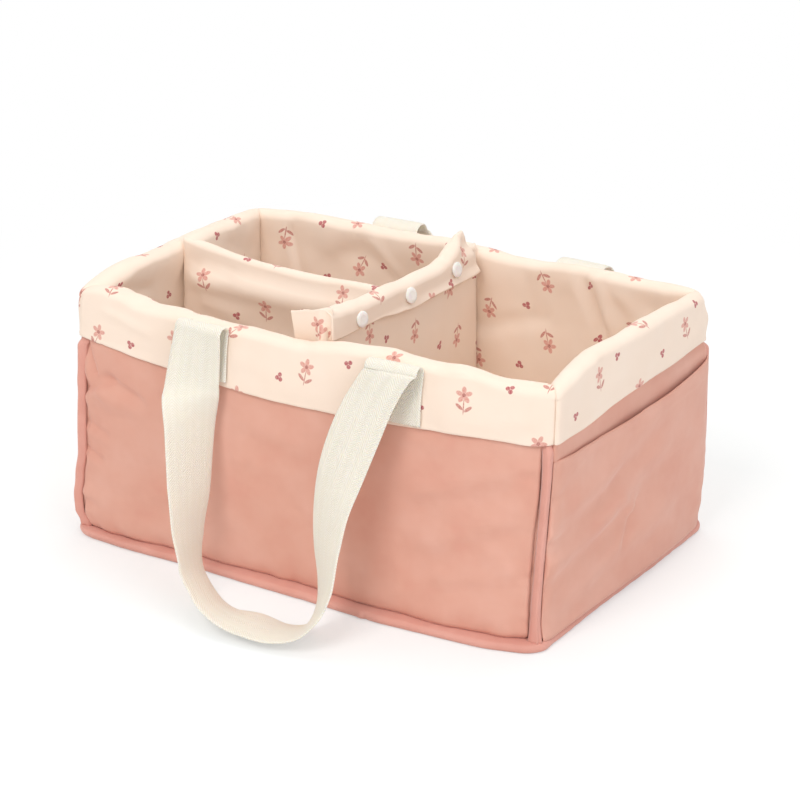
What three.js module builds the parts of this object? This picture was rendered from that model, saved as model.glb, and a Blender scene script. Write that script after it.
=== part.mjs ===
// A padded fabric caddy: a soft open box with a printed lining turned down as a cuff,
// a T-shaped padded divider, a press-stud band and two webbing handles.
// Millimetres, +Z up, X along the length, -Y to the front, origin on the floor under the middle.
import * as THREE from 'three';

// Overall box, measured on the inside faces of the lining at the rim
const innerLength = 356.2;
const innerWidth = 192.2;
const rimHeight = 187.5;
const longWallBow = 8.5;
const endWallBow = 1.4;
const longWallLean = 4;
const rimDropFrontLeft = 3.5;
const rimDropFrontRight = 2;
const rimRiseBack = 1;
const rimRiseLeft = 6;
const rimRiseRight = 4.5;
const rimDip = 7.8;
const rimDipWidth = 95;
const seamGap = 0.3;
const mitreGap = 0.25;
const cuffGap = 0.6;

// Wall layers, from the inside out
const liningThickness = 1.5;
const foamThickness = 6;
const outerThickness = 2;
const longWallSwell = 5;
const cuffDrop = 40.2;
const hemSagLong = 10.8;
const hemSagEnd = -2;

// Base
const flangeHeight = 9;
const flangeProudFront = 9.6;
const flangeProudEnd = 0.4;
const flangeBow = 10.5;
const flangeCornerRadius = 16;
const flangeInnerRadius = 0.2;
const flangeSeat = 4;
const skinThickness = 1.5;
const boardThickness = 2.5;

// Corner bindings
const bindingWidth = 9.4;
const bindingThickness = 3;
const bindingInset = 1.2;
const bindingGap = 0.6;
const bindingRoundness = 1.2;

// End pockets
const pocketGape = 5.2;
const pocketSwell = 1.6;
const pocketThickness = 1.6;
const pocketDropFront = 13;
const pocketDropBack = 12;
const pocketMouthSag = 5;
const pocketMargin = 1.2;
const pocketCrownShare = 0.25;

// Dividers
const coverThickness = 1.2;
const dividerFoamThickness = 3;
const crossDividerX = 4.2;
const crossDividerHeight = 192;
const longDividerY = -6;
const longDividerHeight = 185.5;
const longDividerRise = 10;
const longDividerRiseWidth = 34;
const longDividerSlump = 4.5;

// Snap band folded over the cross divider
const bandThickness = 1.6;
const bandHalfLength = 98;
const bandCrestX = 5;
const bandCrestRise = 5;
const bandDropLeft = 30;
const bandRiseLeft = 5;
const bandRiseRight = 7;
const flapOuterX = 14.8;
const flapDrop = 23;
const tabLength = 22;
const tabDrop = 30;
const tabFall = 5;
const capDiameter = 11.6;
const capHeight = 1.7;
const capEdgeShare = 0.35;
const capDomeShare = 0.8;
const capPitch = 63.8;
const snapDrop = 13.5;
const socketDiameter = 9;
const socketThickness = 0.9;
const socketBore = 4.6;
const studDiameter = 8.4;
const studThickness = 0.6;
const nippleDiameter = 3.4;
const nippleHeight = 0.9;

// Webbing handles
const webbingWidth = 38;
const webbingThickness = 1.8;
const handleSpacing = 154;
const foldRadius = 5;
const frontFoldHeight = 186.5;
const backFoldHeight = 188;
const handleReach = 68;
const handleFloorGap = 5.2;
const backHandleShift = 6;
const hemSeatGap = 3;
const webbingTiltShare = 0.18;

// Facet counts
const longWallColumns = 12;
const endWallColumns = 6;
const pocketColumns = 12;
const longDividerColumns = 10;
const wallRows = 6;
const legRows = 3;
const archSteps = 6;
const flangeStepsLong = 12;
const flangeStepsEnd = 4;
const flangeStepsCorner = 4;
const flangeSectionSteps = 4;
const handleSteps = 42;
const discSides = 16;
const bindingColumns = 3;
const bindingRows = 6;
const seatColumns = 3;

// The band's left leg lies against the cross divider, and its crest just over it
const bandLeftX = crossDividerX - seamGap - bandThickness / 2;
const bandCrestHeight = crossDividerHeight + bandCrestRise;
const snapHeight = bandCrestHeight - snapDrop;

// Depths of the layers, outward from the inside face of the lining
const foamDepth = liningThickness + seamGap;
const outerDepth = foamDepth + foamThickness + seamGap;
const cuffDepth = outerDepth + outerThickness + cuffGap;
const wallThickness = cuffDepth + liningThickness;
const archRadius = cuffDepth / 2;
const wallFoot = flangeHeight + seamGap;
const hemHeight = rimHeight - cuffDrop;

const colours = {
  rosePanel: { color: 0xe2a797, roughness: 0.82 },
  roseBinding: { color: 0xd99888, roughness: 0.85 },
  print: { color: 0xf4e0d2, roughness: 0.85 },
  webbing: { color: 0xf1ebd8, roughness: 0.9 },
  foam: { color: 0xf3f1ea, roughness: 1 },
  board: { color: 0xc9b48f, roughness: 0.9 },
  snap: { color: 0xf7f4f0, roughness: 0.3 },
};

const caddy = new THREE.Group();

// Adds one closed body, with its faces turned outward, under its own name
function addBody(name, points, triangles, finish) {
  const position = new Float32Array(points.length * 3);
  points.forEach((point, index) => point.toArray(position, index * 3));
  let volume = 0;
  for (const [a, b, c] of triangles) {
    volume += points[a].dot(new THREE.Vector3().crossVectors(points[b], points[c]));
  }
  const facing = volume < 0 ? triangles.map(([a, b, c]) => [a, c, b]) : triangles;
  const geometry = new THREE.BufferGeometry();
  geometry.setAttribute('position', new THREE.BufferAttribute(position, 3));
  geometry.setIndex(facing.flat());
  geometry.computeVertexNormals();
  const material = new THREE.MeshStandardMaterial({ metalness: 0, ...finish });
  const mesh = new THREE.Mesh(geometry, material);
  mesh.name = name;
  caddy.add(mesh);
  return mesh;
}

// A sheet of cloth, board or foam: two faces over one grid of stations, joined round the edge
function addSheet(name, columns, rows, facePair, finish) {
  const points = [];
  const stride = rows + 1;
  for (const side of [0, 1]) {
    for (let column = 0; column <= columns; column++) {
      for (let row = 0; row <= rows; row++) points.push(facePair(column / columns, row, side));
    }
  }
  const shift = (columns + 1) * stride;
  const at = (column, row, side) => side * shift + column * stride + row;
  const triangles = [];
  const quad = (a, b, c, d) => triangles.push([a, b, c], [a, c, d]);
  for (let column = 0; column < columns; column++) {
    for (let row = 0; row < rows; row++) {
      const ring = [[column, row], [column + 1, row], [column + 1, row + 1], [column, row + 1]];
      const near = ring.map(([i, j]) => at(i, j, 0));
      const far = ring.map(([i, j]) => at(i, j, 1));
      triangles.push([near[0], near[1], near[2]], [near[0], near[2], near[3]]);
      triangles.push([far[0], far[2], far[1]], [far[0], far[3], far[2]]);
    }
    quad(at(column, 0, 0), at(column, 0, 1), at(column + 1, 0, 1), at(column + 1, 0, 0));
    quad(at(column, rows, 0), at(column + 1, rows, 0), at(column + 1, rows, 1), at(column, rows, 1));
  }
  for (let row = 0; row < rows; row++) {
    quad(at(0, row, 0), at(0, row + 1, 0), at(0, row + 1, 1), at(0, row, 1));
    quad(at(columns, row, 0), at(columns, row, 1), at(columns, row + 1, 1), at(columns, row + 1, 0));
  }
  return addBody(name, points, triangles, finish);
}

// A closed ring: a closed section carried round a closed loop
function addRing(name, steps, sides, pointAt, finish) {
  const points = [];
  for (let step = 0; step < steps; step++) {
    for (let side = 0; side < sides; side++) points.push(pointAt(step, side));
  }
  const at = (step, side) => (step % steps) * sides + (side % sides);
  const triangles = [];
  for (let step = 0; step < steps; step++) {
    for (let side = 0; side < sides; side++) {
      const corner = at(step + 1, side + 1);
      triangles.push([at(step, side), at(step + 1, side), corner]);
      triangles.push([at(step, side), corner, at(step, side + 1)]);
    }
  }
  return addBody(name, points, triangles, finish);
}

// The four walls share one description; each stands in its own frame with its outside towards -Y
const longWall = { inner: innerWidth / 2, half: innerLength / 2, bow: longWallBow, lean: longWallLean,
  endLean: 0, swell: longWallSwell, rise: 0, dip: 0, hemSag: hemSagLong, columns: longWallColumns };
const endWall = { inner: innerLength / 2, half: innerWidth / 2, bow: endWallBow, lean: 0,
  endLean: longWallLean, swell: 0, dip: 0, hemSag: hemSagEnd, columns: endWallColumns };
const rimFrontLeft = rimHeight - rimDropFrontLeft;
const rimFrontRight = rimHeight - rimDropFrontRight;
const rimBack = rimHeight + rimRiseBack;
const walls = {
  front: { ...longWall, turn: 0, rims: [rimFrontLeft, rimFrontRight], dip: rimDip },
  right: { ...endWall, turn: Math.PI / 2, rims: [rimFrontRight, rimBack], rise: rimRiseRight },
  back: { ...longWall, turn: Math.PI, rims: [rimBack, rimBack] },
  left: { ...endWall, turn: -Math.PI / 2, rims: [rimBack, rimFrontLeft], rise: rimRiseLeft },
};
const upAxis = new THREE.Vector3(0, 0, 1);

// A point of a wall: share runs -1 to 1 along it, depth is outward from the lining's inside face
function wallPoint(wall, share, depth, height) {
  const slope = 1 - height / rimHeight;
  const half = wall.half + wall.endLean * slope + depth - mitreGap;
  const bow = wall.bow * (1 - share * share);
  const out = wall.inner + depth + bow + wall.lean * slope;
  return new THREE.Vector3(share * half, -out, height).applyAxisAngle(upAxis, wall.turn);
}

// The same, for a distance along the wall instead of a share of it
function wallPlace(wall, along, depth, height) {
  return wallPoint(wall, along / (wall.half + depth), depth, height);
}

// The rim runs from corner to corner with a rise or sag, and the handle draws the front one down
function rimAt(wall, share) {
  const level = THREE.MathUtils.lerp(...wall.rims, (share + 1) / 2) + wall.rise * (1 - share * share);
  const offset = Math.abs(share * wall.half + handleSpacing / 2) / rimDipWidth;
  return level - wall.dip * Math.exp(-(offset ** 3)) * (1 - share ** 8);
}

// The cuff's hem hangs lower between the corners
function hemAt(wall, share) {
  return hemHeight - wall.hemSag * (1 - share * share);
}

// The padding swells between the corner seams, and between the base seam and the rim
function swellAt(wall, share, height) {
  const rise = (height - wallFoot) / (rimHeight - archRadius - wallFoot);
  const upShare = THREE.MathUtils.clamp(rise, 0, 1);
  return wall.swell * (1 - share ** 4) * (1 - Math.abs(2 * upShare - 1) ** 3);
}

// Outer panel and foam of one wall
function addWallPadding(name, wall) {
  const height = (share, row) => {
    const top = rimAt(wall, share) - archRadius - seamGap;
    return THREE.MathUtils.lerp(wallFoot, top, row / wallRows);
  };
  addSheet(`${name}_outer_panel`, wall.columns, wallRows, (u, row, side) => {
    const share = 2 * u - 1;
    const z = height(share, row);
    return wallPoint(wall, share, outerDepth + side * outerThickness + swellAt(wall, share, z), z);
  }, colours.rosePanel);
  addSheet(`${name}_foam`, wall.columns, wallRows, (u, row, side) => {
    const share = 2 * u - 1;
    const z = height(share, row);
    return wallPoint(wall, share, foamDepth + side * (foamThickness + swellAt(wall, share, z)), z);
  }, colours.foam);
}

// The lining climbs the inside of the wall, rolls over the rim and turns down to the hem as a cuff
function addLining(name, wall) {
  const lastRow = legRows + archSteps + legRows;
  const middle = liningThickness / 2;
  addSheet(`${name}_lining_cuff`, wall.columns, lastRow, (u, row, side) => {
    const share = 2 * u - 1;
    const archBase = rimAt(wall, share) - middle - archRadius;
    const offset = (side - 1 / 2) * liningThickness;
    if (row < legRows) {
      return wallPoint(wall, share, middle + offset, THREE.MathUtils.lerp(wallFoot, archBase, row / legRows));
    }
    if (row <= legRows + archSteps) {
      const angle = Math.PI * (row - legRows) / archSteps;
      const radius = archRadius - offset;
      const swell = swellAt(wall, share, archBase) * (row - legRows) / archSteps;
      const depth = middle + archRadius - radius * Math.cos(angle) + swell;
      return wallPoint(wall, share, depth, archBase + radius * Math.sin(angle));
    }
    const down = (row - legRows - archSteps) / legRows;
    const z = THREE.MathUtils.lerp(archBase, hemAt(wall, share), down);
    return wallPoint(wall, share, middle + 2 * archRadius - offset + swellAt(wall, share, z), z);
  }, colours.print);
}

for (const [name, wall] of Object.entries(walls)) {
  addWallPadding(name, wall);
  addLining(name, wall);
}

// Flat layers of the base follow the plan of the walls
function addPlate(name, inset, bottom, thickness, finish) {
  const slope = 1 - bottom / rimHeight;
  addSheet(name, longWallColumns, 1, (u, row, side) => {
    const share = 2 * u - 1;
    const halfWidth = innerWidth / 2 + longWallLean * slope + longWallBow * (1 - share * share) - inset;
    const x = share * (innerLength / 2 - inset);
    return new THREE.Vector3(x, (2 * row - 1) * halfWidth, bottom + side * thickness);
  }, finish);
}
const plateInset = flangeSeat + seamGap;
const boardBottom = skinThickness + seamGap;
const padBottom = boardBottom + boardThickness + seamGap;
addPlate('base_outer_skin', plateInset, 0, skinThickness, colours.roseBinding);
addPlate('base_board', plateInset, boardBottom, boardThickness, colours.board);
addPlate('base_foam', plateInset, padBottom, flangeHeight - padBottom, colours.foam);
addPlate('base_lining', seamGap, wallFoot, skinThickness, colours.print);

// The plan of the rolled base seam: a rounded rectangle whose long sides bow outward
function roundedPlan(halfX, halfY, radius, bow) {
  const half = [];
  for (let step = 0; step < flangeStepsLong; step++) {
    const share = 2 * step / flangeStepsLong - 1;
    half.push([share * (halfX - radius), -halfY - bow * (1 - share * share)]);
  }
  for (let step = 0; step < flangeStepsCorner; step++) {
    const angle = (step / flangeStepsCorner) * Math.PI / 2;
    half.push([halfX - radius + radius * Math.sin(angle), radius - halfY - radius * Math.cos(angle)]);
  }
  for (let step = 0; step < flangeStepsEnd; step++) {
    const share = 2 * step / flangeStepsEnd - 1;
    half.push([halfX, share * (halfY - radius)]);
  }
  for (let step = 0; step < flangeStepsCorner; step++) {
    const angle = (step / flangeStepsCorner) * Math.PI / 2;
    half.push([halfX - radius + radius * Math.cos(angle), halfY - radius + radius * Math.sin(angle)]);
  }
  const plan = half.concat(half.map(([x, y]) => [-x, -y]));
  return plan.map(([x, y]) => new THREE.Vector3(x, y, 0));
}

// The rolled base seam carries the walls and stands out round their foot
function addFlange() {
  const rollRadius = flangeHeight / 2;
  const outer = roundedPlan(innerLength / 2 + wallThickness + flangeProudEnd,
    innerWidth / 2 + longWallLean + wallThickness + flangeProudFront, flangeCornerRadius, flangeBow);
  const inner = roundedPlan(innerLength / 2 - flangeSeat, innerWidth / 2 + longWallLean - flangeSeat,
    flangeInnerRadius, longWallBow);
  const sides = flangeSectionSteps + 3;
  addRing('base_flange', outer.length, sides, (step, side) => {
    if (side === 0) return inner[step].clone();
    if (side === sides - 1) return inner[step].clone().setZ(flangeHeight);
    const angle = Math.PI * (side - 1) / flangeSectionSteps;
    const toward = outer[step].clone().sub(inner[step]).normalize();
    const centre = outer[step].clone().addScaledVector(toward, -rollRadius);
    return centre.addScaledVector(toward, rollRadius * Math.sin(angle))
      .setZ(rollRadius * (1 - Math.cos(angle)));
  }, colours.rosePanel);
}
addFlange();

// Folded strips that close the four upright corners, outside the panels and under the cuff's hem
function addCornerBinding(name, wall, sign) {
  const far = wall.half + outerDepth + outerThickness - bindingInset;
  addSheet(name, bindingColumns, bindingRows, (u, row, side) => {
    const along = sign * (far - (1 - u) * bindingWidth);
    const share = along / (wall.half + outerDepth + outerThickness);
    const z = THREE.MathUtils.lerp(wallFoot, hemAt(wall, share) - seamGap, row / bindingRows);
    const round = side * (bindingThickness - bindingRoundness * (2 * u - 1) ** 2);
    const depth = outerDepth + outerThickness + bindingGap + swellAt(wall, share, z) + round;
    return wallPlace(wall, along, depth, z);
  }, colours.roseBinding);
}
for (const [side, wall, signs] of [['front', walls.front, { left: -1, right: 1 }],
  ['back', walls.back, { right: -1, left: 1 }]]) {
  for (const [end, sign] of Object.entries(signs)) addCornerBinding(`corner_binding_${side}_${end}`, wall, sign);
}

// A patch pocket on each end wall, sewn down at its sides and foot and open along the top
function addPocket(name, wall, backSign) {
  const halfSpan = wall.half + outerDepth - pocketMargin;
  addSheet(name, pocketColumns, wallRows, (u, row, side) => {
    const share = 2 * u - 1;
    const backShare = (1 + backSign * share) / 2;
    const dip = pocketMouthSag * (1 - share * share);
    const drop = THREE.MathUtils.lerp(pocketDropFront, pocketDropBack, backShare) + dip;
    const rise = row / wallRows;
    const z = THREE.MathUtils.lerp(wallFoot, hemAt(wall, share) - drop, rise);
    const across = 1 - share ** 8;
    const up = 1 - (1 - rise) ** 12;
    const hollow = pocketGape * across * up;
    const crown = pocketSwell * (1 - share * share) * Math.sin(Math.PI * Math.min(1, rise + pocketCrownShare));
    const depth = outerDepth + outerThickness + seamGap + hollow + side * (pocketThickness + Math.max(0, crown));
    return wallPlace(wall, share * halfSpan, depth, z);
  }, colours.rosePanel);
}
addPocket('right_pocket_panel', walls.right, 1);
addPocket('left_pocket_panel', walls.left, -1);

// A padded divider: a cloth cover folded over a slice of foam, open along the floor
const dividerThickness = 2 * coverThickness + dividerFoamThickness + 2 * seamGap;
function addDivider(name, columns, placeAt, topAt, endsAt) {
  const middle = dividerThickness / 2;
  const coverMiddle = middle - coverThickness / 2;
  const lastRow = 2 * legRows + archSteps;
  const foot = wallFoot + skinThickness + seamGap;
  addSheet(`${name}_cover`, columns, lastRow, (u, row, side) => {
    const offset = (side - 1 / 2) * coverThickness;
    const base = topAt(u) - middle;
    const up = row < legRows ? row / legRows : 1;
    const down = row > legRows + archSteps ? (row - legRows - archSteps) / legRows : 0;
    const angle = Math.PI * THREE.MathUtils.clamp((row - legRows) / archSteps, 0, 1);
    const radius = coverMiddle + offset;
    const z = THREE.MathUtils.lerp(foot, base, up - down) + radius * Math.sin(angle);
    return placeAt(u, endsAt(u, z), middle - radius * Math.cos(angle), z);
  }, colours.print);
  addSheet(`${name}_foam`, columns, legRows, (u, row, side) => {
    const z = THREE.MathUtils.lerp(foot, topAt(u) - middle, row / legRows);
    return placeAt(u, endsAt(u, z), coverThickness + seamGap + side * dividerFoamThickness, z);
  }, colours.foam);
}

// The cross divider runs from the front wall to the back wall
addDivider('cross_divider', 1,
  (u, half, across, z) => new THREE.Vector3(crossDividerX + across, (2 * u - 1) * half, z),
  () => crossDividerHeight,
  (u, z) => -wallPlace(walls.front, crossDividerX + dividerThickness, -seamGap, z).y);

// The long divider runs from the left wall to the cross divider, and its padded top slumps back
const longDividerStart = -(innerLength / 2 - seamGap);
const longDividerEnd = bandLeftX - bandThickness / 2 - seamGap;
const longDividerAt = (u) => THREE.MathUtils.lerp(longDividerStart, longDividerEnd, u);
addDivider('long_divider', longDividerColumns, (u, half, across, z) => {
  const slump = longDividerSlump * (z / longDividerHeight) ** 4;
  return new THREE.Vector3(longDividerAt(u), longDividerY + across + slump, z);
}, (u) => {
  const offset = (longDividerAt(u) - longDividerStart) / longDividerRiseWidth;
  return longDividerHeight + longDividerRise * Math.exp(-offset * offset);
}, () => 0);

// Half of the snap band's section: a leg up from its foot, then a quarter of an ellipse to the crest
function addBand(name, sign, legX, foot, rise, finish) {
  const crestX = bandCrestX + sign * seamGap / 2;
  const reach = Math.abs(legX - crestX);
  addSheet(name, 1, legRows + archSteps, (u, row, side) => {
    const climb = Math.min(1, row / legRows);
    const angle = Math.max(0, row - legRows) / archSteps * Math.PI / 2;
    const base = THREE.MathUtils.lerp(foot, bandCrestHeight - rise, climb);
    const place = new THREE.Vector3(crestX + sign * reach * Math.cos(angle), 0, base + rise * Math.sin(angle));
    const normal = new THREE.Vector3(sign * rise * Math.cos(angle), 0, reach * Math.sin(angle)).normalize();
    place.addScaledVector(normal, (side - 1 / 2) * bandThickness);
    return place.setY((2 * u - 1) * bandHalfLength);
  }, finish);
}
addBand('snap_band', -1, bandLeftX, bandCrestHeight - bandDropLeft, bandRiseLeft, colours.print);
addBand('snap_flap', 1, flapOuterX - bandThickness / 2, bandCrestHeight - flapDrop, bandRiseRight, colours.print);

// The band's front end turns along the inside of the front wall as a short tab
addSheet('band_front_tab', 2, 2, (u, row, side) => {
  const top = bandCrestHeight - tabFall * (1 - u);
  const z = THREE.MathUtils.lerp(bandCrestHeight - tabDrop, top, row / 2);
  const along = longDividerEnd - tabLength * (1 - u);
  return wallPlace(walls.front, along, -seamGap - side * bandThickness, z);
}, colours.print);

// Turns a profile of [radius, height] pairs round an axis that points along +X
function addDisc(name, profile, x, y, z, finish) {
  const geometry = new THREE.LatheGeometry(profile.map(([r, h]) => new THREE.Vector2(r, h)), discSides);
  const mesh = new THREE.Mesh(geometry, new THREE.MeshStandardMaterial({ metalness: 0, ...finish }));
  mesh.name = name;
  mesh.rotation.z = -Math.PI / 2;
  mesh.position.set(x, y, z);
  caddy.add(mesh);
}

// Press studs: cap and socket on the flap, stud on the divider
const dividerRightX = crossDividerX + dividerThickness;
for (const index of [-1, 0, 1]) {
  const number = index + 2;
  const y = index * capPitch;
  const capRadius = capDiameter / 2;
  const socketRadius = socketDiameter / 2;
  const studRadius = studDiameter / 2;
  const nippleRadius = nippleDiameter / 2;
  addDisc(`snap_cap_${number}`, [[0, 0], [capRadius, 0], [capRadius, capHeight * capEdgeShare],
    [capRadius * capDomeShare, capHeight * capDomeShare], [0, capHeight]],
  flapOuterX + seamGap, y, snapHeight, colours.snap);
  const socketX = flapOuterX - bandThickness - seamGap - socketThickness;
  addDisc(`snap_socket_${number}`, [[socketBore / 2, 0], [socketRadius, 0], [socketRadius, socketThickness],
    [socketBore / 2, socketThickness], [socketBore / 2, 0]], socketX, y, snapHeight, colours.snap);
  addDisc(`snap_stud_${number}`, [[0, 0], [studRadius, 0], [studRadius, studThickness],
    [nippleRadius, studThickness], [nippleRadius, studThickness + nippleHeight],
    [0, studThickness + nippleHeight]], dividerRightX + seamGap, y, snapHeight, colours.snap);
}

// Webbing sewn flat on the cuff from the hem up, over the first quarter of its fold
const seatDepth = wallThickness + seamGap + webbingThickness / 2;
function addHandleSeat(name, wall, along, foldHeight) {
  const foot = hemAt(wall, along / wall.half) + hemSeatGap;
  const foldBase = foldHeight - foldRadius;
  const lastRow = legRows + archSteps;
  addSheet(name, seatColumns, lastRow, (u, row, side) => {
    const x = along + (u - 1 / 2) * webbingWidth;
    const offset = (side - 1 / 2) * webbingThickness;
    const share = x / (wall.half + seatDepth);
    if (row < legRows) {
      const z = THREE.MathUtils.lerp(foot, foldBase, row / legRows);
      return wallPlace(wall, x, seatDepth + offset + swellAt(wall, share, z), z);
    }
    const angle = (row - legRows) / archSteps * Math.PI / 2;
    const radius = foldRadius - offset;
    const depth = seatDepth + foldRadius - radius * Math.cos(angle) - seamGap * Math.sin(angle);
    return wallPlace(wall, x, depth, foldBase + radius * Math.sin(angle));
  }, colours.webbing);
}

// The free loop of webbing: along the caddy, outward and downward, with the turn of its width
const spineShares = [
  { x: -1.01, out: 0.166, drop: 0.164, turn: 0.078 },
  { x: -0.985, out: 0.276, drop: 0.297, turn: 0.215 },
  { x: -0.935, out: 0.393, drop: 0.433, turn: 0.36 },
  { x: -0.84, out: 0.584, drop: 0.643, turn: 0.465 },
  { x: -0.765, out: 0.713, drop: 0.783, turn: 0.51 },
  { x: -0.655, out: 0.807, drop: 0.882, turn: 0.525 },
  { x: -0.48, out: 0.905, drop: 0.962, turn: 0.52 },
  { x: -0.2, out: 0.985, drop: 0.997, turn: 0.505 },
  { x: 0.13, out: 0.994, drop: 1, turn: 0.505 },
  { x: 0.41, out: 0.925, drop: 0.992, turn: 0.545 },
  { x: 0.6, out: 0.83, drop: 0.95, turn: 0.64 },
  { x: 0.695, out: 0.765, drop: 0.862, turn: 0.71 },
  { x: 0.7, out: 0.707, drop: 0.768, turn: 0.745 },
  { x: 0.67, out: 0.582, drop: 0.641, turn: 0.8 },
  { x: 0.65, out: 0.463, drop: 0.51, turn: 0.89 },
  { x: 0.68, out: 0.34, drop: 0.376, turn: 0.945 },
  { x: 0.745, out: 0.24, drop: 0.255, turn: 0.965 },
  { x: 0.83, out: 0.149, drop: 0.143, turn: 0.985 },
  { x: 0.92, out: 0.1, drop: 0.075, turn: 1 },
];

// The outer quarter of a leg's fold: level at the crest, hanging straight down at its end
function foldStations(wall, along, foldHeight, turn, skew) {
  const out = new THREE.Vector3(0, -1, 0).applyAxisAngle(upAxis, wall.turn + skew);
  const crest = wallPlace(wall, along, seatDepth + foldRadius + seamGap / 2, foldHeight);
  const stations = [];
  for (let step = 0; step <= archSteps; step++) {
    const angle = (step / archSteps) * Math.PI / 2;
    const place = crest.clone().addScaledVector(out, foldRadius * Math.sin(angle));
    place.z -= foldRadius * (1 - Math.cos(angle));
    const tangent = out.clone().multiplyScalar(Math.cos(angle)).setZ(-Math.sin(angle));
    stations.push({ place, tangent, turn });
  }
  return stations;
}

// One loop: a fold, the hanging ribbon and the other fold, as stations with a turn of the width
function handleStations(wall, foldHeight, shift) {
  const halfSpacing = handleSpacing / 2;
  const drop = foldHeight - handleFloorGap;
  const slope = 2 * wall.bow * halfSpacing / wall.half ** 2;
  const start = foldStations(wall, shift - halfSpacing, foldHeight, -slope, -slope);
  const finish = foldStations(wall, shift + halfSpacing, foldHeight, Math.PI + slope, slope);
  finish.forEach((station) => station.tangent.negate());
  const crestOut = -start[0].place.clone().applyAxisAngle(upAxis, -wall.turn).y;
  const spine = spineShares.map((share) => {
    const place = new THREE.Vector3(shift + share.x * halfSpacing, -crestOut - share.out * handleReach, 0);
    return place.applyAxisAngle(upAxis, wall.turn).setZ(foldHeight - share.drop * drop);
  });
  const turns = [-slope, ...spineShares.map((share) => share.turn * Math.PI), Math.PI + slope];
  const last = archSteps;
  const line = new THREE.CatmullRomCurve3([start[last].place, ...spine, finish[last].place], false, 'centripetal');
  const turnLine = new THREE.SplineCurve(turns.map((turn, index) => new THREE.Vector2(index, turn)));
  const middle = [];
  for (let step = 1; step < handleSteps; step++) {
    const share = line.getUtoTmapping(step / handleSteps);
    middle.push({ place: line.getPoint(share), tangent: line.getTangent(share), turn: turnLine.getPoint(share).y });
  }
  return [...start, ...middle, ...finish.reverse()];
}

function addHandle(name, wall, foldHeight, shift) {
  const stations = handleStations(wall, foldHeight, shift);
  addSheet(name, 1, stations.length - 1, (u, row, side) => {
    const { place, tangent, turn } = stations[row];
    const width = new THREE.Vector3(Math.cos(turn), Math.sin(turn), 0).applyAxisAngle(upAxis, wall.turn);
    width.z = webbingTiltShare * Math.sin(turn) ** 4 * (1 - Math.abs(tangent.z));
    width.addScaledVector(tangent, -width.dot(tangent)).normalize();
    const normal = new THREE.Vector3().crossVectors(tangent, width);
    return place.clone().addScaledVector(width, (u - 1 / 2) * webbingWidth)
      .addScaledVector(normal, (side - 1 / 2) * webbingThickness);
  }, colours.webbing);
}

for (const [side, wall, foldHeight, shift] of [['front', walls.front, frontFoldHeight, 0],
  ['back', walls.back, backFoldHeight, -backHandleShift]]) {
  const ends = wall === walls.front ? { left: -1, right: 1 } : { right: -1, left: 1 };
  for (const [end, sign] of Object.entries(ends)) {
    addHandleSeat(`${side}_handle_seat_${end}`, wall, shift + sign * handleSpacing / 2, foldHeight);
  }
  addHandle(`${side}_handle`, wall, foldHeight, shift);
}

export default caddy;
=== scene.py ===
"""A padded fabric caddy: rose cotton outside, a printed lining turned down over the rim as a cuff,
a T-shaped padded divider with a press-stud band, end pockets and two webbing handles.

Shapes are worked out in millimetres as whole numpy grids and put into meshes in metres. Each wall has
its own frame: share runs from -1 to 1 along it, depth is outward from the lining's inside face.
"""
from types import SimpleNamespace
import bpy
import numpy as np
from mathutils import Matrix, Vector


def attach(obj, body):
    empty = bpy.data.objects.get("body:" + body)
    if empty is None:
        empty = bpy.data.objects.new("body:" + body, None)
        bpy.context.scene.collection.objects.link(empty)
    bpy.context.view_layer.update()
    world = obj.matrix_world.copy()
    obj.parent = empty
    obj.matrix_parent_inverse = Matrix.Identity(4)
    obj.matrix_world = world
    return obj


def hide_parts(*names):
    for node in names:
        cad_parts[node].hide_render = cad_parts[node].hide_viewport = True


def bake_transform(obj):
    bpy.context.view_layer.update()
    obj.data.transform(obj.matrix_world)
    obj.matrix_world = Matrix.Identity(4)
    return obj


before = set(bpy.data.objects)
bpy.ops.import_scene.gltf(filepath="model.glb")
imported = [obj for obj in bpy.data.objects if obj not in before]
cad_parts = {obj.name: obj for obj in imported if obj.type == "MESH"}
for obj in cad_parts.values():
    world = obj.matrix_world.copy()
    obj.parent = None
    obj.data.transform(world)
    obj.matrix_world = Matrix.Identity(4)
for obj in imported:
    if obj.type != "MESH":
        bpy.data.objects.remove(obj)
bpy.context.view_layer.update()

MM = 0.001
PI = np.pi

# Size of the shell, as its panels were cut
RIM = 187.5
INNER_HALF_LENGTH = 178.1
INNER_HALF_WIDTH = 96.1
LEAN = 4.0
MITRE = 0.25
BOW = 8.5
WALL_FOOT = 9.3
PANEL_FOOT = 6.3
STRIP = 6.6
LINING = 1.3
LINING_DEPTH = 0.75
ARCH = 5.35
FOAM_OUT = 7.8
PANEL_MIDDLE = 9.1
PANEL = 1.8
PANEL_FACE = 10.1
SEAT_DEPTH = 13.4

FRONT_LEFT, FRONT_RIGHT, BACK = 186.0, 185.5, 188.5
LONG_WALL = dict(inner=INNER_HALF_WIDTH, half=INNER_HALF_LENGTH, bow=BOW, lean=LEAN, end_lean=0.0,
                 swell=5.0, hem_sag=8.5)
END_WALL = dict(inner=INNER_HALF_LENGTH, half=INNER_HALF_WIDTH, bow=1.4, lean=0.0, end_lean=LEAN,
                swell=0.0, hem_sag=-0.6)
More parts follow.
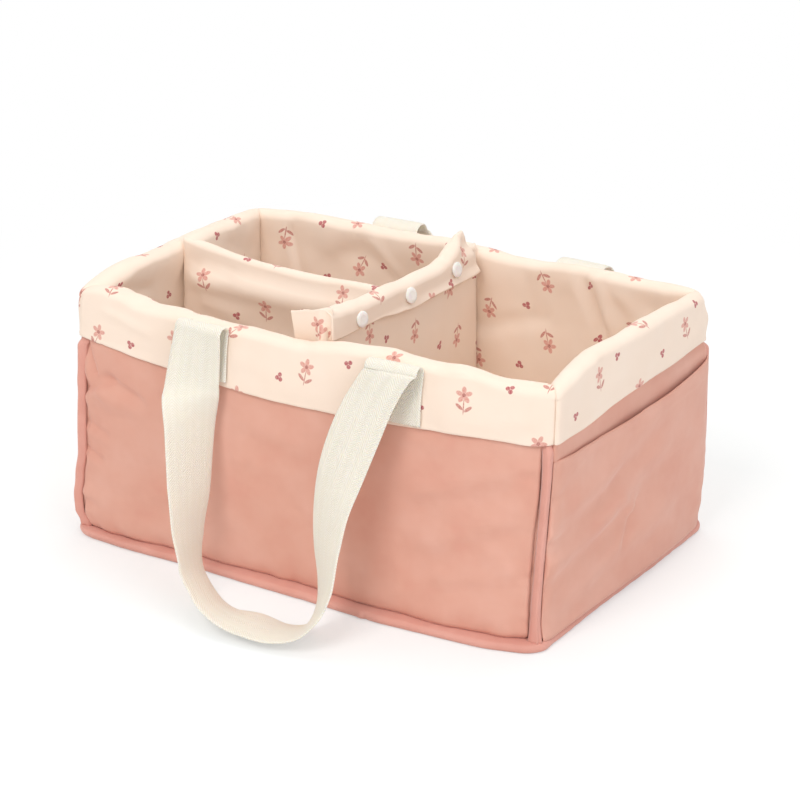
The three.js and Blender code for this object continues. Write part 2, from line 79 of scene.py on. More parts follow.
# rims and hems are the heights at a wall's two corners, ears how far the cuff's corners stand up, brims how far
# the wadding pushes inward; way tells whether the wall's own direction is that of the world's axis
WALLS = {
    "front": SimpleNamespace(
        **LONG_WALL, name="front", way=1, turn=0.0, rims=(FRONT_LEFT, FRONT_RIGHT), hems=(149.8, 147.3),
        ears=(2.5, 1.6), brims=(5.5, 2.5), rise=0.0, foot=5.0, uv_shift=20.0),
    "right": SimpleNamespace(
        **END_WALL, name="right", way=1, turn=PI / 2, rims=(FRONT_RIGHT, BACK), hems=(147.3, 151.0),
        ears=(1.6, 5.0), brims=(2.5, 1.0), rise=4.5, foot=0.8, uv_shift=431.0),
    "back": SimpleNamespace(
        **LONG_WALL, name="back", way=-1, turn=PI, rims=(BACK, BACK), hems=(151.0, 150.0),
        ears=(5.0, 2.0), brims=(1.0, 2.5), rise=0.0, foot=3.0, uv_shift=800.0),
    "left": SimpleNamespace(
        **END_WALL, name="left", way=-1, turn=-PI / 2, rims=(BACK, FRONT_LEFT), hems=(150.0, 149.8),
        ears=(2.0, 2.5), brims=(2.5, 5.5), rise=4.5, foot=0.8, uv_shift=1200.0),
}
FRONT_WALL, BACK_WALL = WALLS["front"], WALLS["back"]
HANDLE_HALF = 77.0
# Height of the front wall's rim over the line between its corners, along x
FRONT_RIM = [(-180, 1.0), (-161, 3.0), (-148, 0.6), (-128, -4.2), (-110, -3.4), (-90, -4.2), (-62, -5.4),
             (-20, -4.8), (0, -4.8), (12, -2.6), (35, 0.8), (67, 2.6), (88, 0.0), (99, -0.2), (117, 1.0),
             (150, -2.6), (180, -2.0)]


# ---- Numbers that vary over a surface ----

def mix(a, b, share):
    """Straight blend from a to b."""
    return a + (b - a) * share


def smooth(share):
    """3t^2 - 2t^3 of a share held between 0 and 1."""
    t = np.clip(share, 0, 1)
    return t * t * (3 - 2 * t)


def bell(x, centre, width):
    """exp(-((x - centre) / width)^2)."""
    return np.exp(-((x - centre) / width) ** 2)


def through(x, points):
    """Smooth curve through (x, value) pairs: smoothsteps between neighbours."""
    xs, values = np.array(points, float).T
    index = np.clip(np.searchsorted(xs, x) - 1, 0, len(xs) - 2)
    local = (x - xs[index]) / (xs[index + 1] - xs[index])
    return mix(values[index], values[index + 1], smooth(local))


def mottle(x, y, cell_x, cell_y, seed):
    """Random values from -1 to 1 on the nodes of a lattice, joined by smoothsteps."""
    table = np.random.RandomState(seed).uniform(-1, 1, (61, 61))
    gx, gy = np.broadcast_arrays(x / cell_x + 23.37, y / cell_y + 17.71)
    ix, iy = np.floor(gx).astype(int), np.floor(gy).astype(int)
    fx, fy = smooth(gx - ix), smooth(gy - iy)
    near = mix(table[ix % 61, iy % 61], table[(ix + 1) % 61, iy % 61], fx)
    far = mix(table[ix % 61, (iy + 1) % 61], table[(ix + 1) % 61, (iy + 1) % 61], fx)
    return mix(near, far, fy)


def bells(x, rows):
    """Sum of bells along one direction; a row is height, centre, width."""
    return sum(height * bell(x, centre, width) for height, centre, width in rows)


def dents(a, z, rows):
    """Sum of round swells and hollows; a row is height, centre and width along a, centre and width in z."""
    return sum(height * bell(a, centre_a, width_a) * bell(z, centre_z, width_z)
               for height, centre_a, width_a, centre_z, width_z in rows)


def mottles(a, z, rows):
    """Sum of mottles; a row is height, the cell's two sizes and the seed."""
    return sum(height * mottle(a, z, cell_a, cell_z, seed) for height, cell_a, cell_z, seed in rows)


def creases(a, z, rows):
    """Ridges along segments, each with a shallow trough beside it, bell-shaped across and past the ends. A row
    is the start and end of the segment, the width and the height."""
    total = 0
    for start_a, start_z, end_a, end_z, width, height in rows:
        run_a, run_z = end_a - start_a, end_z - start_z
        length = np.hypot(run_a, run_z)
        along = ((a - start_a) * run_a + (z - start_z) * run_z) / length
        side = ((a - start_a) * run_z - (z - start_z) * run_a) / length / width
        past = (along - np.clip(along, 0, length)) / (1.6 * width)
        ridge = np.exp(-side ** 2) - 0.55 * np.exp(-((side - 1.6) / 1.2) ** 2)
        total = total + height * ridge * np.exp(-past ** 2)
    return total


def gathers(along, away, pitch, reach, height, seed):
    """Puckers that run out from a seam: noise along it that dies out over the reach."""
    away = np.maximum(away, 0)
    return height * mottle(along, away, pitch, 3 * reach, seed) * np.exp(-away / reach)


def vectors(*coordinates):
    """Coordinates broadcast together, on a last axis."""
    return np.stack(np.broadcast_arrays(*coordinates), -1)


def unit(rows):
    """Vectors scaled to a length of one."""
    return rows / np.maximum(np.linalg.norm(rows, axis=-1, keepdims=True), 1e-9)


def run_of(points):
    """Distance of each point from the first, along a curve or along every line of a grid."""
    step = np.linalg.norm(np.diff(points, axis=-2), axis=-1)
    return np.cumsum(np.concatenate([np.zeros_like(step[..., :1]), step], -1), -1)


def turned_about_z(points, angle):
    """Points or directions turned about the vertical."""
    x, y, z = np.moveaxis(points, -1, 0)
    cos, sin = np.cos(angle), np.sin(angle)
    return vectors(cos * x - sin * y, sin * x + cos * y, z)


# ---- The shell's own frame ----

def wall_point(wall, share, depth, z):
    """share x half along the wall and inner + depth + bow(1 - share^2) + lean out of it, both growing towards
    the foot, with the last stretch bent round an eighth of a circle to the mitre at the corner."""
    slope = 1 - z / RIM
    half = wall.half + wall.end_lean * slope + depth - MITRE
    out = wall.inner + depth + wall.bow * (1 - share ** 2) + wall.lean * slope
    radius = 1.8 + 0.2 * np.clip(depth, 0, 20)
    run = np.abs(share) * half
    turn = np.clip((run - half + radius) / radius, 0, 1.05) * PI / 4
    run = np.where(turn > 0, half - radius * (1 - np.sin(turn)), run)
    out = out - radius * (1 - np.cos(turn))
    return turned_about_z(vectors(np.sign(share) * run, -out, z), wall.turn)


def wall_place(wall, along, depth, z):
    """The same for a distance along the wall."""
    return wall_point(wall, along / (wall.half + depth), depth, z)


def own_axis(wall, share):
    """World coordinate that runs along the wall: x of the long walls, y of the end walls."""
    return wall.way * share * wall.half


def rim_height(wall, share):
    """Corner heights joined, a rise between them, and the lumps and dips of the padding."""
    level = mix(*wall.rims, (share + 1) / 2) + wall.rise * (1 - share ** 2)
    a = own_axis(wall, share)
    lumps = {
        "front": through(a, FRONT_RIM),
        "right": bells(a, [(2.0, -58, 34), (-2.4, 88, 30)]),
        "back": bells(a, [(-3.4, 46, 32), (2.0, -136, 30), (1.2, -19, 12), (-1.0, 130, 30)]),
        "left": bells(a, [(4.0, -62, 22)]) - 0.8,
    }[wall.name] + mottles(a, 0, [(0.6, 21, 1, 5), (0.45, 9, 1, 6)])
    return level + lumps * (1 - np.abs(share) ** 8)


def brim(wall, share, z, base):
    """How far the wadding pushes the lining inward under the rim."""
    return mix(*wall.brims, (share + 1) / 2) * bell(np.minimum(z, base), base, 17)


def hem_line(wall, share):
    """Height of the cuff's hem: its corners joined, with a sag between them."""
    return mix(*wall.hems, (share + 1) / 2) - wall.hem_sag * (1 - share ** 2)


def hem_height(wall, share):
    """The hem with the small dips and waves that the cloth takes."""
    a = own_axis(wall, share)
    waves = {"front": [(1.9, -145, 40), (-1.4, -25, 50), (0.9, 98, 26), (-2.2, 163, 14)],
             "right": [(0.5, 60, 34), (-1.4, -62, 24)]}.get(wall.name, [])
    waves = bells(a, waves) + mottles(a, 0, [(0.5, 26, 1, 8), (0.2, 9, 1, 10)])
    return hem_line(wall, share) + waves * (1 - share ** 8)


def swell(wall, share, z):
    """The padding's fullness between the seams, and its slump over the base seam at the foot."""
    rise = np.clip((z - WALL_FOOT) / (RIM - ARCH - WALL_FOOT), 0, 1)
    power = np.where(rise < 0.5, 4.5, 3.0)
    full = wall.swell * (1 - share ** 4) * (1 - np.abs(2 * rise - 1) ** power)
    return full + wall.foot * (1 - share ** 6) * bell(z, PANEL_FOOT, 21)


def settle(points):
    """How the soft box leans: each corner is pushed along the plan by an amount that varies with height. The
    left end bulges low down, the back right corner stands out, the front right one is drawn in at its foot,
    and the foot of the front wall bellies forward."""
    x, y, z = np.moveaxis(points, -1, 0)
    to_left, to_right = smooth((-x - 70) / 110), smooth((x - 70) / 110)
    to_front, to_back = smooth((50 - y) / 150), smooth((50 + y) / 150)
    left = through(z, [(0, 3.2), (9, 4.6), (17, 8.0), (27, 9.5), (42, 9.6), (62, 7.8), (110, 6.2), (144, 5.2),
                       (152, 4.4), (210, 4.0)])
    forward = through(z, [(0, 8.5), (9, 10.5), (18, 11.5), (27, 10.5), (42, 8.2), (62, 6.2), (144, 5.4),
                          (152, 2.9), (210, 2.6)])
    right = through(z, [(0, 3.6), (9, 3.8), (25, 4.8), (60, 6.3), (142, 6.1), (151, 3.6), (210, 3.2)])
    drawn = through(z, [(0, 2.6), (20, 5.0), (150, 0), (210, 0)])
    belly = through(x, [(-190, 0), (-128, 1.5), (5, 1.2), (75, 5.0), (150, 5.5), (190, 0)])
    belly = belly * through(z, [(-1, 1), (14, 0.9), (55, 0.25), (100, 0), (210, 0)]) * smooth((-y - 40) / 60)
    outer_right = right * to_right * to_back
    dx = -left * to_left * (to_front + 0.45 * to_back) + outer_right - drawn * to_right * to_front
    dy = -forward * to_left * to_front + outer_right - belly
    return points + vectors(dx, dy, 0)


# ---- Relief of the cloth, outward in mm, over the world coordinate along a wall and z ----

# Where the panels' side seams are along the front wall and the end walls
FRONT_SEAM, END_SEAM = 181.4, 106

def seam_drop(away, z, depth):
    """The panel turns in before a corner strip, sharply near the hem and in a wider roll lower down."""
    width = mix(4.4, 2.4, smooth((z - 60) / 70))
    return -depth * smooth(1 - away / width)


def front_relief(x, z):
    """Soft lumps, puckers at the two corner seams and the base seam, and the folds that pull across."""
    left, right = x + FRONT_SEAM, FRONT_SEAM - x
    lumps = mottles(x, z, [(0.9, 46, 34, 11), (0.45, 17, 12, 12), (0.14, 6, 5, 13)])
    seams = seam_drop(left, z, 1.5) + seam_drop(right, z, 2.6)
    puckers = (gathers(z, left, 7, 12, 2.6, 14) * smooth(left / 6)
               + gathers(z, right, 6.5, 8, 1.7, 15) * smooth(right / 8)
               + gathers(x, z - 8, 11, 8, 1.3, 16) + gathers(x, z - 8, 31, 18, 1.2, 17))
    folds = creases(x, z, [
        (-180, 143, -174, 126, 2.8, -2.6), (-178, 112, -159, 121, 4.5, -2.3), (-159, 121, -134, 113, 5.0, -2.6),
        (-180, 64, -167, 59, 2.4, -1.7), (-180, 84, -163, 80, 3.0, -1.3), (92, 98, 160, 124, 8.0, 1.7),
        (102, 63, 158, 88, 8.0, 1.6), (112, 38, 160, 50, 6.0, 1.1), (-112, 46, -60, 40, 7.5, 1.2),
        (-40, 118, 40, 104, 9.0, 1.2)])
    return lumps + seams + puckers + folds + dents(x, z, [(2.0, -154, 11, 106, 9), (-1.6, 60, 60, 60, 34)])


def right_relief(y, z):
    """The right panel and its pocket: long folds that fan out from the front corner, dimples and puckers."""
    lumps = mottles(y, z, [(1.0, 44, 30, 21), (0.5, 17, 13, 22), (0.12, 6, 5, 23)])
    puckers = (gathers(z, y + END_SEAM - 1, 6.5, 9, 2.4, 24) + gathers(z, END_SEAM - y, 14, 10, 0.7, 25)
               + gathers(y, z - 8, 12, 8, 1.2, 26))
    folds = creases(y, z, [
        (-90, 92, -30, 104, 9.0, 2.0), (-40, 104, 20, 122, 11.0, 1.8), (-92, 60, -30, 72, 9.0, 2.2),
        (-40, 72, 24, 94, 11.0, 2.4), (-70, 30, 30, 47, 10.0, 2.2), (3, 62, -10, 44, 4.5, -2.6),
        (-16, 74, 0, 61, 4.5, 1.5), (30, 100, 84, 82, 11.0, 1.6)])
    return lumps + puckers + folds


def plain_relief(a, z, seed, half):
    """The walls that the camera doesn't see: lumps, and puckers at their seams."""
    away = half + 4 - np.abs(a)
    lumps = mottles(a, z, [(0.9, 44, 32, seed), (0.4, 16, 12, seed + 1)])
    puckers = gathers(z, away, 8, 13, 1.6, seed + 2) + gathers(a, z - 10, 11, 8, 1.3, seed + 3)
    folds = creases(a, z, [(-0.8 * half, 60, -0.2 * half, 78, 6, 1.3),
                           (0.3 * half, 104, 0.8 * half, 92, 6, 1.2)])
    return lumps + puckers * smooth(away / 6) + folds + seam_drop(away - 3, z, 2.0) * (half > 120)


def panel_relief(wall, a, z):
    """Relief of one wall's outer panel, dying out where the cuff lies over it."""
    relief = {
        "front": lambda: front_relief(a, z),
        "right": lambda: 0.5 * plain_relief(a, z, 61, END_SEAM),
        "back": lambda: plain_relief(a, z, 41, 177.5),
        "left": lambda: 0.5 * plain_relief(a, z, 51, END_SEAM),
    }[wall.name]()
    return relief * smooth((160 - z) / 16)


def cuff_relief(wall, a, z):
    """The cuff outside: nearly flat cloth with long soft waves and a tuck or two at the hem."""
    tucks = {
        "front": [(-155, 143, -155, 150, 1.6, 0.7), (-150, 172, -118, 166, 4, 0.9), (-40, 160, 10, 150, 6, 0.5),
                  (112, 150, 160, 160, 6, 0.5)],
        "right": [(-30, 165, 40, 158, 6, 0.7), (40, 150, 96, 168, 6, 0.7)],
    }.get(wall.name, [])
    return mottles(a, z, [(0.45, 52, 26, 71), (0.16, 13, 13, 72)]) + creases(a, z, tucks)


# Inside each wall: creases that hang from the rim, and pillows and hollows of the wadding
LINING_CREASES = {
    "back": [(109, 187, 123, 138, 6.0, -4.2), (97, 182, 109, 150, 4.5, 2.4), (12, 128, 60, 142, 7.0, 2.0),
             (-150, 174, -142, 140, 4.5, 2.4), (-80, 178, -60, 158, 5.0, -1.8), (132, 170, 160, 140, 7, -1.8)],
    "left": [(-82, 176, -50, 168, 5, 2.2), (20, 178, 60, 160, 6, -2.2), (-30, 130, 10, 110, 7, 1.8)],
    "right": [(-60, 172, 0, 160, 6, -1.6), (30, 176, 70, 150, 6, 1.5)],
}
LINING_DENTS = {
    "back": [(3.4, 64, 30, 148, 26), (2.4, 148, 14, 168, 12), (-2.2, 26, 18, 109, 15), (-2.0, 24, 20, 168, 14),
             (3.4, -94, 13, 166, 10), (-2.2, -122, 12, 172, 11), (2.2, -44, 30, 148, 14)],
    "left": [(-2.2, -40, 24, 150, 20)],
}


def lining_relief(wall, a, z):
    """The padded inside, outward from the box's middle: lumps of wadding under creased cloth."""
    lumps = mottles(a, z, [(1.7, 50, 46, 81), (1.0, 21, 24, 82), (0.3, 8, 9, 83)])
    lumps = lumps + dents(a, z, LINING_DENTS.get(wall.name, []))
    return lumps + creases(a, z, LINING_CREASES.get(wall.name, []))


# ---- Meshes ----

def new_object(name, data):
    """An object in the scene."""
    thing = bpy.data.objects.new(name, data)
    bpy.context.scene.collection.objects.link(thing)
    return thing


def make_object(name, points, faces, uv, finish):
    """Quads or triangles over points in mm, with a UV map in metres; turned outward by their signed volume."""
    corner = [points[faces[:, k]] for k in range(faces.shape[1])]
    volume = sum(np.einsum("ij,ij->i", corner[0], np.cross(corner[k], corner[k + 1])).sum()
                 for k in range(1, faces.shape[1] - 1))
    if volume < 0:
        faces = faces[:, ::-1]
        uv = uv[:, ::-1] if uv.ndim == 3 else uv
    if uv.ndim == 2:
        uv = uv[faces]
    mesh = bpy.data.meshes.new(name)
    mesh.vertices.add(len(points))
    mesh.vertices.foreach_set("co", (points * MM).astype(np.float32).ravel())
    mesh.loops.add(faces.size)
    mesh.loops.foreach_set("vertex_index", faces.astype(np.int32).ravel())
    mesh.polygons.add(len(faces))
    mesh.polygons.foreach_set("loop_start", np.arange(0, faces.size, faces.shape[1], dtype=np.int32))
    mesh.uv_layers.new(name="cloth").uv.foreach_set("vector", (uv * MM).astype(np.float32).ravel())
    mesh.update(calc_edges=True)
    mesh.validate()
    mesh.shade_smooth()
    mesh.materials.append(finish)
    return new_object(name, mesh)


def quads(grid):
    """The four corners of every cell of a grid of indices or coordinates."""
    corners = np.stack([grid[:-1, :-1], grid[1:, :-1], grid[1:, 1:], grid[:-1, 1:]], 2)
    return corners.reshape(-1, 4, *grid.shape[2:])


def normals(surface):
    """Unit normals of a grid of points: the cross product of its two directions."""
    return unit(np.cross(np.gradient(surface, axis=0), np.gradient(surface, axis=1)))


def add_sheet(name, front, back, uv, finish, edge=0.35):
    """Two faces over one grid, closed round the edge by a ring between them that stands out to round it."""
    rows, columns = front.shape[:2]
    grid = np.arange(rows * columns).reshape(rows, columns)
    rim = np.concatenate([grid[:-1, 0], grid[-1, :-1], grid[:0:-1, -1], grid[0, :0:-1]])
    inner = np.clip(rim // columns, 1, rows - 2) * columns + np.clip(rim % columns, 1, columns - 2)
    flat_front, flat_back = front.reshape(-1, 3), back.reshape(-1, 3)
    middle = (flat_front + flat_back) / 2
    gap = np.linalg.norm(flat_front[rim] - flat_back[rim], axis=1, keepdims=True)
    ring = middle[rim] + unit(middle[rim] - middle[inner]) * gap * edge
    count, size = rows * columns, len(rim)
    following = np.roll(np.arange(size), -1)
    mids = 2 * count + np.arange(size)
    sides = np.concatenate([np.stack([rim[following], rim, mids, mids[following]], 1),
                            np.stack([mids[following], mids, rim + count, rim[following] + count], 1)])
    face = quads(grid)
    faces = np.concatenate([face, face[:, ::-1] + count, sides])
    flat_uv = uv.reshape(-1, 2)
    return make_object(name, np.concatenate([flat_front, flat_back, ring]), faces,
                       np.concatenate([flat_uv, flat_uv, flat_uv[rim]]), finish)


def add_cloth(name, middle, thickness, uv, finish, edge=0.35):
    """A sheet of cloth, half its thickness to each side of its middle surface."""
    half = normals(middle) * np.asarray(thickness)[..., None] / 2
    return add_sheet(name, middle + half, middle - half, uv, finish, edge)


def add_loop(name, sections, uv, finish):
    """A closed section (steps x sides) carried round a closed loop."""
    steps, sides = sections.shape[:2]
    index = np.pad(np.arange(steps * sides).reshape(steps, sides), ((0, 1), (0, 1)), mode="wrap")
    return make_object(name, sections.reshape(-1, 3), quads(index), quads(uv), finish)


def turned_profile(profile, steps):
    """A profile of (radius, height) pairs turned round +X: one row of points per pair."""
    radius, height = np.array(profile, float).T[..., None]
    angle = np.linspace(0, 2 * PI, steps, endpoint=False)
    return vectors(height, radius * np.cos(angle), radius * np.sin(angle))


def add_turned(name, profile, centre, finish, tilt=(0.0, 0.0), steps=40):
    """A profile from pole to pole, turned round an axis along +X that may be tilted up and towards the front;
    the ends are closed by small fans of triangles at their poles."""
    index = np.arange(len(profile) * steps).reshape(len(profile), steps)
    index = np.concatenate([index, index[:, :1]], 1)
    square = quads(index)
    triangles = np.concatenate([square[:, [0, 1, 2]], square[:, [0, 2, 3]]])
    points = turned_profile(profile, steps).reshape(-1, 3)
    for (_, level), edge, way in ((profile[0], index[0], 1), (profile[-1], index[-1], -1)):
        fan = np.stack([np.full(steps, len(points)), edge[:-1], edge[1:]], 1)[:, ::way]
        points = np.concatenate([points, [[level, 0, 0]]])
        triangles = np.concatenate([triangles, fan])
    uv = points[:, 1:]
    up, turn = tilt
    axis = np.array([np.cos(up) * np.cos(turn), -np.cos(up) * np.sin(turn), np.sin(up)])
    side = np.array([np.sin(turn), np.cos(turn), 0.0])
    points = points @ np.stack([axis, side, np.cross(axis, side)]) + np.array(centre)
    return make_object(name, points, triangles, uv, finish)


def add_ring(name, profile, centre, finish, steps=40):
    """A closed profile turned round an axis along +X."""
    sections = turned_profile(profile, steps).swapaxes(0, 1) + np.array(centre)
    return add_loop(name, sections, np.zeros((steps + 1, len(profile) + 1, 2)), finish)


def finish_piece(piece, nodes, body="caddy"):
    """Gives a piece its body and the solids that it stands for."""
    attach(piece, body)
    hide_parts(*nodes)


# ---- Materials ----

def linear(code):
    """sRGB hex to linear RGBA."""
    value = np.array([int(code[k:k + 2], 16) for k in (1, 3, 5)]) / 255
    value = np.where(value <= 0.04045, value / 12.92, ((value + 0.055) / 1.055) ** 2.4)
    return (*value, 1.0)


def node(tree, kind, inputs=(), **settings):
    """Adds a node with its settings. Inputs are named, or listed in their order. A socket, or a node for its
    first output, is linked; anything else is the input's value."""
    made = tree.nodes.new("ShaderNode" + kind)
    for key, value in settings.items():
        setattr(made, key, value)
    for key, value in inputs.items() if isinstance(inputs, dict) else enumerate(inputs):
        if isinstance(value, bpy.types.Node):
            value = value.outputs[0]
        if isinstance(value, bpy.types.NodeSocket):
            tree.links.new(value, made.inputs[key])
        else:
            made.inputs[key].default_value = value
    return made


def new_material(name, build, *choices):
    """A material whose surface is the shader that build adds to its tree."""
    material = bpy.data.materials.new(name)
    material.use_nodes = True
    tree = material.node_tree
    tree.nodes.clear()
    node(tree, "OutputMaterial", {"Surface": build(tree, *choices)})
    return material


def woven(tree, pitch, strength, distance):
    """Plain weave as a bump: two crossed sine waves over the UV map, thread spacing in mm."""
    uv = node(tree, "UVMap", uv_map="cloth")
    grain = 1000 / pitch * PI
    scaled = node(tree, "VectorMath", [uv, (grain, grain, 0)], operation="MULTIPLY")
    split = node(tree, "SeparateXYZ", [scaled])
    warp = node(tree, "Math", [split], operation="SINE")
    weft = node(tree, "Math", [split.outputs[1]], operation="SINE")
    weave = node(tree, "Math", [warp, weft], operation="MULTIPLY")
    slub = node(tree, "TexNoise", {"Vector": uv, "Scale": 420.0, "Detail": 3.0})
    height = node(tree, "Math", [weave, 0.35, slub], operation="MULTIPLY_ADD")
    return node(tree, "Bump", {"Height": height, "Strength": strength, "Distance": distance})


def cotton_poplin(tree, colour, shade, light):
    """Dyed cotton poplin: close plain weave with a slight sheen, its dye a little uneven over centimetres."""
    uv = node(tree, "UVMap", uv_map="cloth")
    cloud = node(tree, "TexNoise", {"Vector": uv, "Scale": 22.0, "Detail": 3.0, "Roughness": 0.6})
    ramp = node(tree, "ValToRGB", {"Fac": cloud})
    stops = ramp.color_ramp.elements
    stops[0].position, stops[0].color = 0.32, linear(shade)
    stops[1].position, stops[1].color = 0.68, linear(light)
    stops.new(0.5).color = linear(colour)
    bump = woven(tree, 0.7, 0.16, 0.0003)
    return node(tree, "BsdfPrincipled", {
        "Base Color": ramp, "Roughness": 0.72, "Sheen Weight": 0.3, "Sheen Roughness": 0.4,
        "Specular IOR Level": 0.28, "Normal": bump})


# Sprig: petals round a flower, its eye, two leaves and a stem, as (x, y, half length, half width, angle) in mm
FLOWER_Y = 3.6
PETALS = [(3.3 * np.cos(angle), FLOWER_Y + 3.3 * np.sin(angle), 2.5, 1.55, angle)
          for angle in np.radians(90 + 72 * np.arange(5))]
GREENERY = [(-3.0, -4.3, 3.1, 1.15, np.radians(142)), (3.1, -5.6, 3.1, 1.15, np.radians(36)),
            (0.0, -4.3, 5.2, 0.42, np.radians(88))]
EYE = [(0.0, FLOWER_Y, 1.25, 1.25, 0.0)]
BERRIES = [(-1.55, 0.5, 1.6, 1.5, 0.0), (1.6, 0.9, 1.6, 1.5, 0.0), (0.1, -1.9, 1.6, 1.5, 0.0)]


def print_motif(tree, uv, cell, offset, seed, stray, turn, groups):
    """One motif repeated half-drop over cells in mm, each moved and turned by white noise. Every group is the
    union of ellipses: the smallest scaled distance to one of them, 1 at its edge."""
    scale = (1000 / cell[0], 1000 / cell[1], 0)
    scaled = node(tree, "Mapping", {"Vector": uv, "Scale": scale, "Location": (*offset, 0)})
    split = node(tree, "SeparateXYZ", [scaled])
    column = node(tree, "Math", [split], operation="FLOOR")
    odd = node(tree, "Math", [column, 2.0], operation="FLOORED_MODULO")
    dropped = node(tree, "Math", [odd, 0.5, split.outputs[1]], operation="MULTIPLY_ADD")
    place = node(tree, "CombineXYZ", [split, dropped, seed])
    cell_id = node(tree, "VectorMath", [place], operation="FLOOR")
    noise = node(tree, "TexWhiteNoise", {"Vector": cell_id}, noise_dimensions="3D")
    local = node(tree, "VectorMath", [place, cell_id], operation="SUBTRACT")
    sized = node(tree, "VectorMath", [local, (*cell, 0)], operation="MULTIPLY")
    shift = node(tree, "VectorMath", [noise.outputs["Color"], (*stray, 0)], operation="MULTIPLY")
    middle = ((cell[0] + stray[0]) / 2, (cell[1] + stray[1]) / 2, 0)
    moved = node(tree, "VectorMath", [sized, shift], operation="ADD")
    centred = node(tree, "VectorMath", [moved, middle], operation="SUBTRACT")
    angle = node(tree, "Math", [noise.outputs["Value"], 2 * turn, -turn], operation="MULTIPLY_ADD")
    spun = node(tree, "VectorRotate", {"Vector": centred, "Angle": angle}, rotation_type="Z_AXIS")
    masks = []
    for ellipses in groups:
        nearest = None
        for x, y, length, width, tilt in ellipses:
            own = node(tree, "Mapping", {"Vector": spun, "Location": (x, y, 0), "Rotation": (0, 0, tilt),
                                         "Scale": (length, width, 1)}, vector_type="TEXTURE")
            far = node(tree, "VectorMath", [own], operation="LENGTH").outputs["Value"]
            nearest = node(tree, "Math", [nearest, far], operation="MINIMUM") if nearest else far
        masks.append(node(tree, "MapRange", {"Value": nearest, "From Min": 1.12, "From Max": 0.88}))
    return masks


def printed_cotton(tree):
    """Screen-printed cotton poplin: cream ground, small sprigs and berry clusters in thin pigment ink."""
    uv = node(tree, "UVMap", uv_map="cloth")
    cloud = node(tree, "TexNoise", {"Vector": uv, "Scale": 30.0, "Detail": 2.0})
    ground = node(tree, "Mix", {"Factor": cloud, 6: linear("#f6e0cd"), 7: linear("#fae9d9")}, data_type="RGBA")
    ink = node(tree, "TexNoise", {"Vector": uv, "Scale": 900.0, "Detail": 2.0})
    thin = node(tree, "MapRange", {"Value": ink, "From Min": 0.3, "From Max": 0.7, "To Min": 0.62,
                                   "To Max": 0.98})
    cell = (58, 46)
    petals, greenery, eye = print_motif(tree, uv, cell, (0, 0), 1.5, (16, 12), 0.5, [PETALS, GREENERY, EYE])
    berries, = print_motif(tree, uv, cell, (0.5, 0.22), 7.5, (15, 12), 0.9, [BERRIES])
    colour = ground.outputs[2]
    for mask, code in ((petals, "#dd998c"), (greenery, "#c67a70"), (eye, "#b05e58"), (berries, "#b03a49")):
        cover = node(tree, "Math", [mask, thin], operation="MULTIPLY")
        colour = node(tree, "Mix", {"Factor": cover, 6: colour, 7: linear(code)}, data_type="RGBA").outputs[2]
    bump = woven(tree, 0.7, 0.14, 0.0003)
    return node(tree, "BsdfPrincipled", {
        "Base Color": colour, "Roughness": 0.8, "Sheen Weight": 0.18, "Sheen Roughness": 0.5,
        "Specular IOR Level": 0.25, "Normal": bump})


def cotton_webbing(tree):
    """Heavy cotton webbing in herringbone twill: six columns of slanting ribs that turn back at each column."""
    uv = node(tree, "UVMap", uv_map="cloth")
    split = node(tree, "SeparateXYZ", [uv])
    column_width, rib_pitch = 0.0063, 0.0019
    across = node(tree, "Math", [split, column_width], operation="PINGPONG")
    slant = node(tree, "Math", [across, split.outputs[1]], operation="ADD")
    rib_phase = node(tree, "Math", [slant, 2 * PI / rib_pitch], operation="MULTIPLY")
    rib = node(tree, "Math", [rib_phase], operation="SINE")
    column_phase = node(tree, "Math", [split, 2 * PI / column_width], operation="MULTIPLY")
    column = node(tree, "Math", [column_phase], operation="COSINE")
    fibre = node(tree, "TexNoise", {"Vector": uv, "Scale": 1300.0, "Detail": 3.0})
    ribbed = node(tree, "Math", [column, 0.2, rib], operation="MULTIPLY_ADD")
    height = node(tree, "Math", [fibre, 1.1, ribbed], operation="MULTIPLY_ADD")
    tone = node(tree, "MapRange", {"Value": height, "From Min": -1.0, "From Max": 2.0})
    colour = node(tree, "Mix", {"Factor": tone, 6: linear("#f1ead7"), 7: linear("#fbf8ef")}, data_type="RGBA")
    bump = node(tree, "Bump", {"Height": height, "Strength": 0.5, "Distance": 0.0003})
    shader = node(tree, "BsdfPrincipled", {
        "Base Color": colour.outputs[2], "Roughness": 0.86, "Sheen Weight": 0.1, "Specular IOR Level": 0.2,
        "Subsurface Weight": 0.12, "Subsurface Radius": (1.0, 0.75, 0.45), "Subsurface Scale": 0.002,
        "Normal": bump})
    through_it = node(tree, "BsdfTranslucent", {"Color": linear("#fdf1da")})
    return node(tree, "MixShader", [0.08, shader, through_it])


def acetal_resin(tree):
    """Moulded acetal resin, as press studs are made of: white, smooth and glossy with a faint orange-peel."""
    place = node(tree, "TexCoord").outputs["Object"]
    peel = node(tree, "TexNoise", {"Vector": place, "Scale": 700.0, "Detail": 1.0})
    bump = node(tree, "Bump", {"Height": peel, "Strength": 0.05, "Distance": 0.0002})
    tone = node(tree, "Mix", {"Factor": peel, 6: linear("#f4efeb"), 7: linear("#fbf8f5")}, data_type="RGBA")
    return node(tree, "BsdfPrincipled", {
        "Base Color": tone.outputs[2], "Roughness": 0.22, "IOR": 1.48, "Subsurface Weight": 0.15,
        "Subsurface Scale": 0.002, "Normal": bump})


